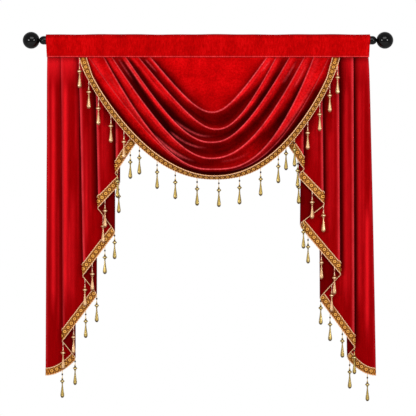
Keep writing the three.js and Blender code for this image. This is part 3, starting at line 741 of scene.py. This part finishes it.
def panel_light(number, u, below, from_braid):
    """Shade and shine of the last panel and of the strip under it."""
    shade = listed(u, PANEL_DARK) * (1 - ease(2, listed(u, PANEL_CLEAR), from_braid))
    shine = bell(below - listed(u, PANEL_SHINE), PANEL_SHINE_WIDE) if number == PANEL else 0 * u
    return shade, shine


def swag_floats(u, grid, row_of, troughs, flat):
    """Painted bright lines on the pleat edges, painted light on the rolls below them and painted shade in the
    hollows.

    The small creases are raised on the grid as well.
    """
    line, lift, deep = (np.zeros(grid.shape[:2]) for _ in range(3))
    side = ease(0.1, 0.4, np.abs(u))
    faint = FAINT * side
    seam = ease(SEAM_Z + 1, SEAM_Z - 16, grid[:, :, 2])
    wander = waves(u, (0.31, 0.9, 0.3), (0.17, 0.6, 1.9), (0.083, 0.4, 0.7))
    for i in np.nonzero(row_of <= flat)[0]:
        gap = np.linalg.norm((grid[i] - troughs[0][0])[:, [0, 2]], axis=1) * lerp(1, 0.75, side)
        deep[i] = listed(u, FLAT_DARK) * bell(gap, listed(u, FLAT_WIDE), FLAT_FADE)
        line[i] = bell(gap, FLAT_LINE)
    for number, (upper, lower, across) in enumerate(troughs):
        first_row = flat + TROUGH_ROWS * number
        last_row = first_row + TROUGH_ROWS
        span = (lower - upper)[:, [0, 2]]
        length2 = np.maximum((span**2).sum(axis=1), 1e-6)
        for i in np.nonzero((row_of > first_row) & (row_of <= last_row))[0]:
            way = np.clip(((grid[i] - upper)[:, [0, 2]] * span).sum(axis=1) / length2, 0, 1)
            if row_of[i] == last_row:
                way = np.ones_like(way)
            below = way * across + wander * way * (1 - way) * 2
            above = (1 - way) * across
            if number < PANEL:
                shade, shine = hollow_light(SWAG_LIGHT[number], u, below, above)
            else:
                to_braid = troughs[-1][2] if number == PANEL else 0
                shade, shine = panel_light(number, u, below, above + to_braid)
            deep[i] = np.clip(shade, 0, 1)
            lift[i] = (0.12 + 0.88 * shine) * side
            line[i] = bell(below, EDGE_LINE) * (1 if number <= PANEL else faint)
            if number <= PANEL:
                line[i] = np.maximum(line[i], bell(above, UNDER_LINE) * (1 if number < PANEL else faint))
            for trough, start, end, way_start, way_end, wide, high, bright in SWAG_CREASES:
                if trough == number:
                    shows = crease_at(u, way, across, (start, end), (way_start, way_end), wide)
                    grid[i, :, 1] -= high * shows
                    line[i] = np.maximum(line[i], bright * shows)
                    deep[i] = deep[i] * (1 - 0.5 * bright * shows)
    return line * (0.45 + 0.55 * seam), lift * (0.4 + 0.6 * seam), deep * (0.5 + 0.5 * seam)


SWAG_COLUMNS = 285
# rows of the grid between control rows: over the flat part, in each trough and behind the braid
FLAT_STEPS = [3, 8, 8, 6, 6]
TROUGH_STEPS = [5, 5, 6, 4]
HEM_STEPS = [4, 3]


def build_swag():
    u = np.linspace(-1, 1, SWAG_COLUMNS + 1)
    u = np.concatenate([[-1], u, [1]])
    rows, troughs = swag_rows(u)
    flat = len(FLAT_ROWS) + 1
    for k, row in enumerate(rows):
        for end in (0, -1):
            if k <= flat:
                row[end, 0] = lerp(rows[0][end, 0] * HEAD_SPREAD, rows[flat][end, 0], k / flat)
            row[end, 2] = HEAD_Z
    grid, row_of = through(rows, FLAT_STEPS + TROUGH_STEPS * len(troughs) + HEM_STEPS)
    line, lift, deep = swag_floats(u, grid, row_of, troughs, flat)
    obj = hang("swag_draped", "swag", grid, CLOTH, SWAG_VELVET, lift, line, deep)
    return obj


swag = build_swag()

# ----- tails

PLEAT_HEAD = 1.6
PLEAT_HEM = 8
BACK_HEAD = 9
BACK_HEM = 26
OPEN_BY = -330
EDGE_EASE = 0.7
HEM_SLOPE = 1.25
TIP_EASE = 2
STEEPEST = 2.2
RIDGE_GROWS = 120
RIDGE_FADES = 160
LAYERS = 9

# edges: (head, hem, hem height) from the outer edge inwards; ridges: (at, wide, high, from, to);
# creases: finer ridges of the same kind; for each front edge, shades: how dark and wide the painted shade is
# on the front behind it, and lines: how bright its painted highlight is; heads: how light the top is painted
TAILS = {
    "left": dict(
        side=-1,
        edges=[(492, 498, -1023), (404, 406, -970), (450, 444, -917), (339, 340, -775), (397, 381, -717),
               (283, 284, -584), (347, 334, -510), (266, 268, -433), (284, 280, -403), (196, 204, -290)],
        ridges=[(474, 9, 4.5, -60, -900), (436, 9, 4.5, -60, -880), (414, 10, 3, -400, -900),
                (372, 9, 2.5, -200, -700), (312, 12, 2.5, -150, -520)],
        creases=[(488, 2.5, 1.0, -60, -560), (458, 4, 0.7, -420, -960), (452, 3, 0.5, -90, -500),
                 (424, 4, 0.8, -500, -860), (404, 4, 0.7, -60, -420), (397, 2.2, 0.9, -60, -660),
                 (370, 4, 0.7, -300, -690), (359, 4, 0.6, -70, -620), (322, 4, 0.6, -60, -480),
                 (296, 4, 0.6, -60, -420), (262, 5, 0.8, -60, -380), (238, 5, 0.8, -60, -330)],
        shades={2: (0.2, 8), 4: (0.34, 8), 6: (0.5, 16), 8: (0.5, 12)},
        lines={0: 0.3, 2: 0.35, 4: 1.0, 6: 1.0, 8: 0.9},
        heads=0.85,
    ),
    "right": dict(
        side=1,
        edges=[(491, 515, -1023), (412, 426, -966), (444, 448, -935), (338, 342, -787), (399, 403, -712),
               (288, 281, -562), (347, 352, -498), (276, 276, -412), (294, 290, -390), (202, 208, -268)],
        ridges=[(488, 9, 4.5, -450, -980), (463, 10, 3.5, -60, -900), (421, 10, 3.5, -60, -880),
                (372, 9, 3, -200, -680), (322, 12, 2.5, -150, -470)],
        creases=[(476, 4, 0.6, -60, -700), (497, 2.5, 1.0, -380, -640), (486, 2.2, 0.9, -560, -800),
                 (432, 4, 0.5, -300, -860), (404, 4, 0.6, -500, -860), (382, 4, 0.6, -60, -600),
                 (362, 4, 0.6, -200, -640), (332, 3.5, 0.6, -60, -460), (304, 4, 0.6, -60, -400),
                 (266, 5, 0.8, -60, -370), (240, 5, 0.8, -60, -320)],
        shades={2: (0.62, 10), 4: (0.6, 12), 6: (0.52, 11), 8: (0.5, 12)},
        lines={0: 0.2, 2: 0.95, 4: 0.95, 6: 0.85, 8: 0.8},
        heads=0.4,
    ),
}


def edge_out(edge, z):
    head, hem, hem_z = edge
    return lerp(head, hem, np.maximum(0, (SEAM_Z - z) / (SEAM_Z - hem_z)) ** EDGE_EASE)


def layer_depth(layer, z):
    opened = ease(SEAM_Z, OPEN_BY, z)
    return lerp(BACK_HEAD, BACK_HEM, opened) - layer * lerp(PLEAT_HEAD, PLEAT_HEM, opened)


def ridge_sum(ridges, out, z):
    total = 0 * z
    for at, wide, high, start, end in ridges:
        length = ease(start, start - RIDGE_GROWS, z) * (1 - ease(end + RIDGE_FADES, end, z))
        total = total + high * length * bell(out - at, wide)
    return total


def tail_stations(per_front, per_return, per_fold):
    """Stations from the outer edge inwards: ("layer", number, way) or ("fold", number, angle)."""
    stations = []
    for layer in range(LAYERS):
        count = (per_return if layer % 2 else per_front)[layer // 2]
        stations += [("layer", layer, i / count) for i in range(count + 1)]
        if layer < LAYERS - 1:
            angles = [lerp(-pi / 2, pi / 2, i / per_fold) for i in range(1, per_fold)]
            stations += [("fold", layer + 1, angle) for angle in angles]
    return stations


def fold_radius(z):
    return (layer_depth(0, z) - layer_depth(1, z)) / 2


def is_fold(k):
    return 0 < k < LAYERS


def fold_turn(k):
    return PLEAT_HEM / 2 * HEM_SLOPE if is_fold(k) else 0


def hem_height(tail, station):
    kind, k, at = station
    heights = [edge[2] for edge in tail["edges"]]
    if kind == "fold":
        return heights[k] + fold_turn(k) * at
    start = heights[k] + fold_turn(k) * pi / 2
    end = heights[k + 1] - fold_turn(k + 1) * pi / 2
    return lerp(start, end, at**TIP_EASE if k == 0 else at)


def tail_point(tail, station, z):
    """Centre of the cloth at a station, for an array of heights."""
    z = np.asarray(z, dtype=float)
    kind, k, at = station
    edges = tail["edges"]
    radius = fold_radius(z)

    def inset(number):
        return 0 * z if not is_fold(number) else (-radius if number % 2 == 0 else radius)

    if kind == "fold":
        turned = cos(at) * (radius if k % 2 == 0 else -radius)
        out = edge_out(edges[k], z) + inset(k) + turned
        y = (layer_depth(k - 1, z) + layer_depth(k, z)) / 2 - radius * sin(at)
    else:
        out = lerp(edge_out(edges[k], z) + inset(k), edge_out(edges[k + 1], z) + inset(k + 1), at)
        y = layer_depth(k, z)
    y = y - ridge_sum(tail["ridges"], out, z) - ridge_sum(tail["creases"], out, z)
    return np.stack([tail["side"] * out, y, z], axis=-1)


def hem_slopes(tail, stations):
    """Fall of the hem for each millimetre of cloth, at each station."""
    points = np.array([tail_point(tail, s, hem_height(tail, s)) for s in stations])
    before = np.concatenate([points[:1], points[:-1]])
    after = np.concatenate([points[1:], points[-1:]])
    cloth = np.hypot(*(points - before)[:, :2].T) + np.hypot(*(after - points)[:, :2].T)
    return np.abs(after[:, 2] - before[:, 2]) / np.maximum(cloth, 1e-6)


TAIL_FRONTS = [34, 34, 34, 30, 30]
TAIL_RETURNS = [12, 10, 10, 8]
FOLD_STEPS = 6
TAIL_ROWS = 96
BRAID_ROWS = 7  # more rows, behind the braid
HEADS_LIT_TO = -150
RIDGE_FULL = 4.5  # height at which a ridge is fully lit
CREASE_FULL = 1.3
# painted highlight along each front edge, painted light beside it and painted shade on the returns
FRONT_LINE = dict(flat=2.5, wide=3.2)
FRONT_GLOW = dict(strong=0.3, wide=9)
RETURN_DARK = 0.3
CLOTH_PLACES = []  # where the tails are, as seen from the room


def tail_floats(tail, stations, grid):
    """Painted bright lines on the front edges, soft painted light on the ridges and painted shade behind each
    edge.
    """
    edges, lines = tail["edges"], tail["lines"]
    lift, line, deep = (np.zeros(grid.shape[:2]) for _ in range(3))
    for j, (kind, k, at) in enumerate(stations):
        out, z = tail["side"] * grid[:, j, 0], grid[:, j, 2]
        ridge = (ridge_sum(tail["ridges"], out, z) / RIDGE_FULL) ** 2
        ridge = ridge + (ridge_sum(tail["creases"], out, z) / CREASE_FULL) ** 1.5
        lift[:, j] = ridge + tail["heads"] * ease(HEADS_LIT_TO, SEAM_Z, z)
        front = kind == "layer" and k % 2 == 0
        turned = kind == "fold" and k % 2 == 0 and at > -0.6
        if front or turned:
            inside = edge_out(edges[k], z) - out
            line[:, j] = lines[k] * bell(np.maximum(inside - FRONT_LINE["flat"], 0), FRONT_LINE["wide"])
            lift[:, j] += FRONT_GLOW["strong"] * lines[k] * bell(inside, FRONT_GLOW["wide"])
        if front and k + 2 < LAYERS:
            cover = edges[k + 2]
            amount, wide = tail["shades"][k + 2]
            past = np.maximum(out - edge_out(cover, z) - 1, 0)
            covered = ease(cover[2] - 14, cover[2] + 40, z)
            deep[:, j] = amount * bell(past, wide, 1.8) * covered
        if not front and not turned:
            deep[:, j] = RETURN_DARK
    return np.clip(lift, 0, 1), line, np.clip(deep, 0, 1)


def hang_columns(tail, stations, heights):
    """A tail's grid and its stations from left to right, and how steeply its hem falls at each.

    heights gives a column's heights from that of its hem and from how much the hem's slope stretches it.
    """
    slopes = hem_slopes(tail, stations)
    columns = []
    for station, slope in zip(stations, slopes):
        stretch = min(STEEPEST, hypot(1, slope))
        columns.append(tail_point(tail, station, heights(hem_height(tail, station), stretch)))
    order = -tail["side"]
    return np.stack(columns[::order], axis=1), stations[::order], slopes[::order]


def tail_heights(hem, stretch):
    braid_top = hem + (BRAID_WIDTH - BRAID_OVERHANG) * stretch
    above = lerp(HEAD_Z, braid_top, np.linspace(0, 1, TAIL_ROWS))
    return np.concatenate([above, lerp(braid_top, hem, np.linspace(0, 1, BRAID_ROWS)[1:])])


def build_tail(name):
    tail = TAILS[name]
    stations = tail_stations(TAIL_FRONTS, TAIL_RETURNS, FOLD_STEPS)
    grid, stations, _ = hang_columns(tail, stations, tail_heights)
    CLOTH_PLACES.append(grid[:, :, [0, 2]].reshape(-1, 2))
    lift, line, deep = tail_floats(tail, stations, grid)
    obj = hang(f"tail_{name}_hung", f"tail_{name}", grid, CLOTH, TAIL_VELVET, lift, line, deep)
    return obj


# ----- braid

ACROSS = np.linspace(BRAID_WIDTH / 2, -BRAID_WIDTH / 2, 9)
CORD_RADIUS = 1.4
CORD_SIDES = 8
CORD_STEP = 0.85
CORD_END = 0.4
CORD_PROUD = 0.35  # share of its radius that the upper cord's middle is above the strip
CORD_WAIST = 0.72  # share of its radius between two strands
CORD_PITCH = 8  # between strands of the twisted cord
ROSETTE_PITCH = 16.2
ROSETTE_SECTORS = 20
# a rosette from its middle out: (radius, height, lightness), the lightness partly pattern, partly painted
# light
ROSETTE_RINGS = [(0.01, 1.0, 0.1), (1.0, 1.0, 0.0), (1.7, 1.4, 0.6), (2.4, 1.9, 1.0), (4.9, 1.9, 1.0),
                 (5.5, 1.2, 0.35), (6.0, 0.8, 0.0), (6.9, 0.6, 0.0), (7.6, 0.4, 0.5)]
# a stud between two rosettes
STUD_RINGS = [(0.01, 1.4, 1.0), (1.3, 1.3, 0.9), (2.0, 0.5, 0.1), (2.6, 0.2, 0.0)]
STUD_SECTORS = 8
STUD_ACROSS = 5.9
PETALS = 10
PETALS_FROM = 2.2
PETAL_DEPTH = 0.06
PETAL_TONE = 0.22
MOTIF_SUNK = 0.3
MOTIFS_CLEAR = 8  # bare ends of a band, in all
WEAVE_ACROSS = 8
SWAG_BAND_END = 0.998
SWAG_BAND_COLUMNS = 420
BAND_FRONTS = [44, 44, 44, 40, 40]
BAND_RETURNS = [16, 16, 16, 12]
BAND_FOLD_STEPS = 8


class Band:
    """The braid's middle surface, read by distance along it and across it.

    shear is how far the band's columns lean along it, for each millimetre across.
    """

    def __init__(self, grid, shear=None):
        self.grid = grid
        self.normals = grid_normals(grid)
        self.run = np.concatenate([[0], np.cumsum(steps_along(grid[len(ACROSS) // 2]))])
        self.length = self.run[-1]
        self.shear = np.zeros(len(self.run)) if shear is None else shear

    def at(self, s, a, high):
        """Points at distances s along and a across, high above the surface."""
        s, a, high = np.broadcast_arrays(*(np.asarray(v, dtype=float) for v in (s, a, high)))
        column = np.interp(s, self.run, np.arange(len(self.run)))
        row = np.clip((BRAID_WIDTH / 2 - a) / BRAID_WIDTH, 0, 1) * (len(ACROSS) - 1)
        j = np.minimum(column.astype(int), len(self.run) - 2)
        i = np.minimum(row.astype(int), len(ACROSS) - 2)
        fj, fi = (column - j)[..., None], (row - i)[..., None]

        def read(values):
            top = lerp(values[i, j], values[i, j + 1], fj)
            return lerp(top, lerp(values[i + 1, j], values[i + 1, j + 1], fj), fi)

        normal = unit(read(self.normals))
        return read(self.grid) + normal * high[..., None], normal


def cord_mesh(band, a, high):
    """A twisted cord laid along the band."""
    s = np.arange(CORD_END, band.length - CORD_END, CORD_STEP)
    path, normal = band.at(s, a, high)
    ahead = unit(np.gradient(path, axis=0))
    up = unit(np.cross(normal, ahead))
    theta = around(CORD_SIDES)
    turn = theta[None, :] - pi * s[:, None] / CORD_PITCH
    lobe = np.abs(np.cos(turn))
    radius = CORD_RADIUS * lerp(CORD_WAIST, 1, lobe)
    rings = path[:, None] + radius[..., None] * (
        np.cos(theta)[None, :, None] * up[:, None] + np.sin(theta)[None, :, None] * normal[:, None])
    # lobe also gives each strand's tone: painted light on its crown, painted shade where two strands meet
    return rings.reshape(-1, 3), ring_faces(len(s), CORD_SIDES), lobe.ravel()


def motif(rings, sectors, petals):
    """Flat places, heights, lightness and faces of a round motif; petals scallop its outer part."""
    theta = around(sectors)[None, :]
    radius, high, light = (np.array(v)[:, None] for v in zip(*rings))
    wave = np.cos(petals * theta) * (radius > PETALS_FROM)
    petal = 1 + PETAL_DEPTH * wave
    x, y = radius * petal * np.cos(theta), radius * petal * np.sin(theta)
    tone = light * (1 - PETAL_TONE + PETAL_TONE * wave)
    high = np.broadcast_to(high, x.shape)
    return x.ravel(), y.ravel(), high.ravel(), tone.ravel(), ring_faces(len(rings), sectors)


def motif_mesh(band):
    """A chain of rosettes along the middle of the band, with two studs between each pair."""
    count = int((band.length - MOTIFS_CLEAR) // ROSETTE_PITCH)
    first = (band.length - (count - 1) * ROSETTE_PITCH) / 2
    rosette = motif(ROSETTE_RINGS, ROSETTE_SECTORS, PETALS)
    stud = motif(STUD_RINGS, STUD_SECTORS, 0)
    placed = []
    for n in range(count):
        centre = first + n * ROSETTE_PITCH
        placed.append((rosette, centre, 0))
        if n < count - 1:
            placed += [(stud, centre + ROSETTE_PITCH / 2, side * STUD_ACROSS) for side in (-1, 1)]
    parts = []
    for (x, y, h, tone, faces), centre, across in placed:
        slope = np.interp(centre, band.run, band.shear)
        a = y + across
        points, _ = band.at(centre + x + a * slope, a, BRAID_FACE + h - MOTIF_SUNK)
        parts.append((points, faces, tone))
    return join(parts)[:3]


def build_braid(name, node, band):
    a = np.broadcast_to(ACROSS[:, None], band.grid.shape[:2])
    s = np.broadcast_to(band.run[None, :], band.grid.shape[:2])
    vertices, faces = sheet_mesh(band.grid, BRAID_CLOTH, BRAID_LIFT)
    # the ground's tone: partly its woven pattern, partly painted shade between the threads
    weave = np.cos(2 * pi * s / (ROSETTE_PITCH / 2)) * np.cos(pi * a / WEAVE_ACROSS)
    strip = add_object(name, vertices, faces, [BRAID_GROUND], {"lift": both(0.5 + 0.45 * weave)})
    points, faces, tones, part = join([
        cord_mesh(band, BRAID_WIDTH / 2 - CORD_RADIUS, BRAID_FACE + CORD_RADIUS * CORD_PROUD),
        cord_mesh(band, -BRAID_WIDTH / 2 + CORD_RADIUS / 2, BRAID_LIFT),
        motif_mesh(band),
    ])
    relief = add_object(name + "_relief", points, faces, [BRAID_CORD, BRAID_ROSETTE],
                        {"lift": tones}, kinds=part == 2)
    stand_for(strip, node)
    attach(relief, "root")


def swag_band():
    centre, up = hem_frame(np.linspace(-SWAG_BAND_END, SWAG_BAND_END, SWAG_BAND_COLUMNS))
    return Band(np.stack([centre + up * a for a in ACROSS]))


def band_heights(hem, stretch):
    return hem + (ACROSS + BRAID_WIDTH / 2 - BRAID_OVERHANG) * stretch


def tail_band(name):
    tail = TAILS[name]
    stations = tail_stations(BAND_FRONTS, BAND_RETURNS, BAND_FOLD_STEPS)
    grid, _, slopes = hang_columns(tail, stations, band_heights)
    return Band(grid, tail["side"] * slopes)


# ----- beaded drops

THREAD_RISE = 3
THREAD_FALL = 20
THREAD_RADIUS = 0.35
SEED_PITCH = 2.7
SEED_RADIUS = 1.15
# (below, radius, lightness) of each turned part, from the top; the lightness is painted light and shade
SMALL_BEAD = [(6.6, 0.5, 0.1), (7.4, 1.9, 0.2), (9, 2.5, 0.4), (10.8, 2.5, 0.4), (12.4, 1.9, 0.1),
              (13, 0.5, 0.1)]
TOP_CAP = [(18.6, 0.6, 0.3), (19.4, 1.9, 0.9), (21.4, 1.6, 0.5), (23.4, 2.9, 0.2), (25, 3.0, 0.0),
           (25.6, 1.8, 0.0)]
CUT_BEAD = [(25, 1.6, 0.0), (27.2, 4.4, 0.0), (28.9, 6.6, 0.55), (30.0, 7.6, 1.0), (31.4, 7.6, 1.0),
            (32.6, 6.6, 0.6), (34.4, 4.2, 0.0), (36.4, 1.9, 0.0)]
DISC = [(36, 1.2, 0.2), (36.5, 2.6, 0.4), (37.5, 3.0, 0.6), (38.5, 2.6, 0.2), (39, 1.5, 0.1)]
LONG_DROP = [(38.8, 1.6, 0.2), (42, 2.1, 0.4), (48, 2.7, 0.5), (55, 3.7, 0.6), (62, 4.9, 0.68),
             (69, 6.1, 0.7), (73, 6.6, 0.78), (75.4, 6.5, 0.95)]
TIP = [(75.4, 6.5, 0.6), (77.4, 6.0, 0.05), (80.2, 4.2, 0.0), (81.6, 1.9, 0.0), (82, 0.3, 0.0)]
BEAD_SIDES = 24
FACET_CUT = 1.22
FACET_DARK = 0.12  # painted shade at a facet's sides
FACET_LIT = 0.3  # share of its width with painted light
DROP_MIDDLE = 62  # below its top
CLOTH_NEAR = 4
DROPS = {"swag": 18, "left": 15, "right": 16}


def turned(profile, sides, facets):
    """Rings of a turned and cut part about -Z, and their painted lightness: most in the facets' middles."""
    theta = around(sides)
    below, radius, light = (np.array(v, dtype=float)[:, None] for v in zip(*profile))
    cut, painted_facet_light = np.ones(sides), np.ones(sides)
    if facets:
        width = 2 * pi / facets
        off = (theta + width / 2) % width - width / 2
        cut = np.minimum(cos(width / 2) / np.cos(off) * FACET_CUT, 1.0)
        # painted light in the middle of each facet, painted shade at its sides
        painted_facet_light = lerp(FACET_DARK, 1, bell(off, FACET_LIT * width))
    r = radius * cut
    rings = np.stack([r * np.sin(theta), -r * np.cos(theta), np.broadcast_to(-below, r.shape)], axis=-1)
    return rings, light * painted_facet_light


def seeds():
    """The threaded seed beads, from the braid to the cap."""
    profile = []
    for at in np.arange(-THREAD_RISE, THREAD_FALL, SEED_PITCH):
        upper, lower = at + 0.25 * SEED_PITCH, at + 0.7 * SEED_PITCH
        profile += [(at, THREAD_RADIUS, 0.4), (upper, SEED_RADIUS, 1), (lower, SEED_RADIUS, 0.9)]
    return profile


# (profile, sides, facets, number of its material) of each part of a drop
DROP_PARTS = [(seeds(), 8, 0, 2), (SMALL_BEAD, 12, 0, 1), (TOP_CAP, 16, 0, 0), (CUT_BEAD, BEAD_SIDES, 4, 0),
              (DISC, 20, 0, 0), (LONG_DROP, BEAD_SIDES, 4, 0), (TIP, BEAD_SIDES, 4, 0)]


def drop_mesh(twist):
    c, s = cos(twist), sin(twist)
    parts = []
    for profile, sides, facets, _ in DROP_PARTS:
        rings, light = turned(profile, sides, facets)
        x, y = rings[..., 0].copy(), rings[..., 1].copy()
        rings[..., 0], rings[..., 1] = c * x - s * y, s * x + c * y
        light = np.broadcast_to(light, rings.shape[:2]).ravel()
        parts.append((rings.reshape(-1, 3), ring_faces(len(profile), sides), light))
    points, faces, light, part = join(parts)
    return points, faces, light, np.array([kind for *_, kind in DROP_PARTS])[part]


def build_drops():
    for row, count in DROPS.items():
        for number in range(1, count + 1):
            node = f"{row}_drop_{number:02d}"
            low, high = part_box(node)
            top = np.array([(low[0] + high[0]) / 2, (low[1] + high[1]) / 2, high[2]]) / MM
            points, faces, light, kinds = drop_mesh(RANDOM.uniform(-0.2, 0.2))
            middle = top[[0, 2]] - [0, DROP_MIDDLE]
            near = min(np.hypot(*(places - middle).T).min() for places in CLOTH_PLACES)
            beads = BEADS_ON_CLOTH if near < CLOTH_NEAR else BEADS_CLEAR
            name = f"beads_{row}_{number:02d}"
            obj = add_object(name, points + top, faces, beads, {"facet": light}, kinds)
            stand_for(obj, node)


tails = {name: build_tail(name) for name in TAILS}
build_braid("swag_trim", "swag_braid", swag_band())
for side_name, hung_tail in tails.items():
    build_braid(f"tail_{side_name}_trim", f"tail_{side_name}_braid", tail_band(side_name))
build_drops()

# ----- floor, backdrop and light

FLOOR_HALF = 3000
FLOOR_Z = -1450


def floor():
    n = Nodes("floor_pale")
    grain = n.noise(30, detail=2)
    n.set(Base_Color=n.mix(grain, (0.78, 0.78, 0.77, 1), (0.82, 0.82, 0.81, 1)), Roughness=0.8)
    corners = [(x * FLOOR_HALF, y * FLOOR_HALF, FLOOR_Z) for x, y in ((-1, -1), (1, -1), (1, 1), (-1, 1))]
    add_object("floor", corners, [(0, 1, 2, 3)], [n.material], {})


def area_light(name, place, target, size, watts):
    data = bpy.data.lights.new(name, "AREA")
    data.shape = "RECTANGLE"
    data.size, data.size_y = size
    data.energy = watts
    obj = linked(name, data)
    obj.location = place
    obj.rotation_euler = (Vector(target) - Vector(place)).to_track_quat("-Z", "Y").to_euler()


def world():
    w = bpy.data.worlds.new("world")
    w.use_nodes = True
    SCENE.world = w
    tree = w.node_tree
    background = tree.nodes["Background"]
    background.inputs["Color"].default_value = (0.9, 0.9, 0.92, 1)
    background.inputs["Strength"].default_value = 0.45
    white = tree.nodes.new("ShaderNodeBackground")
    white.inputs["Color"].default_value = (1, 1, 1, 1)
    path = tree.nodes.new("ShaderNodeLightPath")
    mix = tree.nodes.new("ShaderNodeMixShader")
    tree.links.new(path.outputs["Is Camera Ray"], mix.inputs[0])
    tree.links.new(background.outputs[0], mix.inputs[1])
    tree.links.new(white.outputs[0], mix.inputs[2])
    tree.links.new(mix.outputs[0], tree.nodes["World Output"].inputs["Surface"])


floor()
area_light("key", (0.2, -2.6, 1.5), (0, 0, -0.5), (2.4, 1.4), 48)
area_light("side_left", (-2.0, -2.6, 0.0), (0, 0, -0.5), (0.6, 0.6), 33)
area_light("side_right", (2.0, -2.6, 0.0), (0, 0, -0.5), (0.6, 0.6), 27)
world()
SCENE.view_settings.view_transform = "Standard"
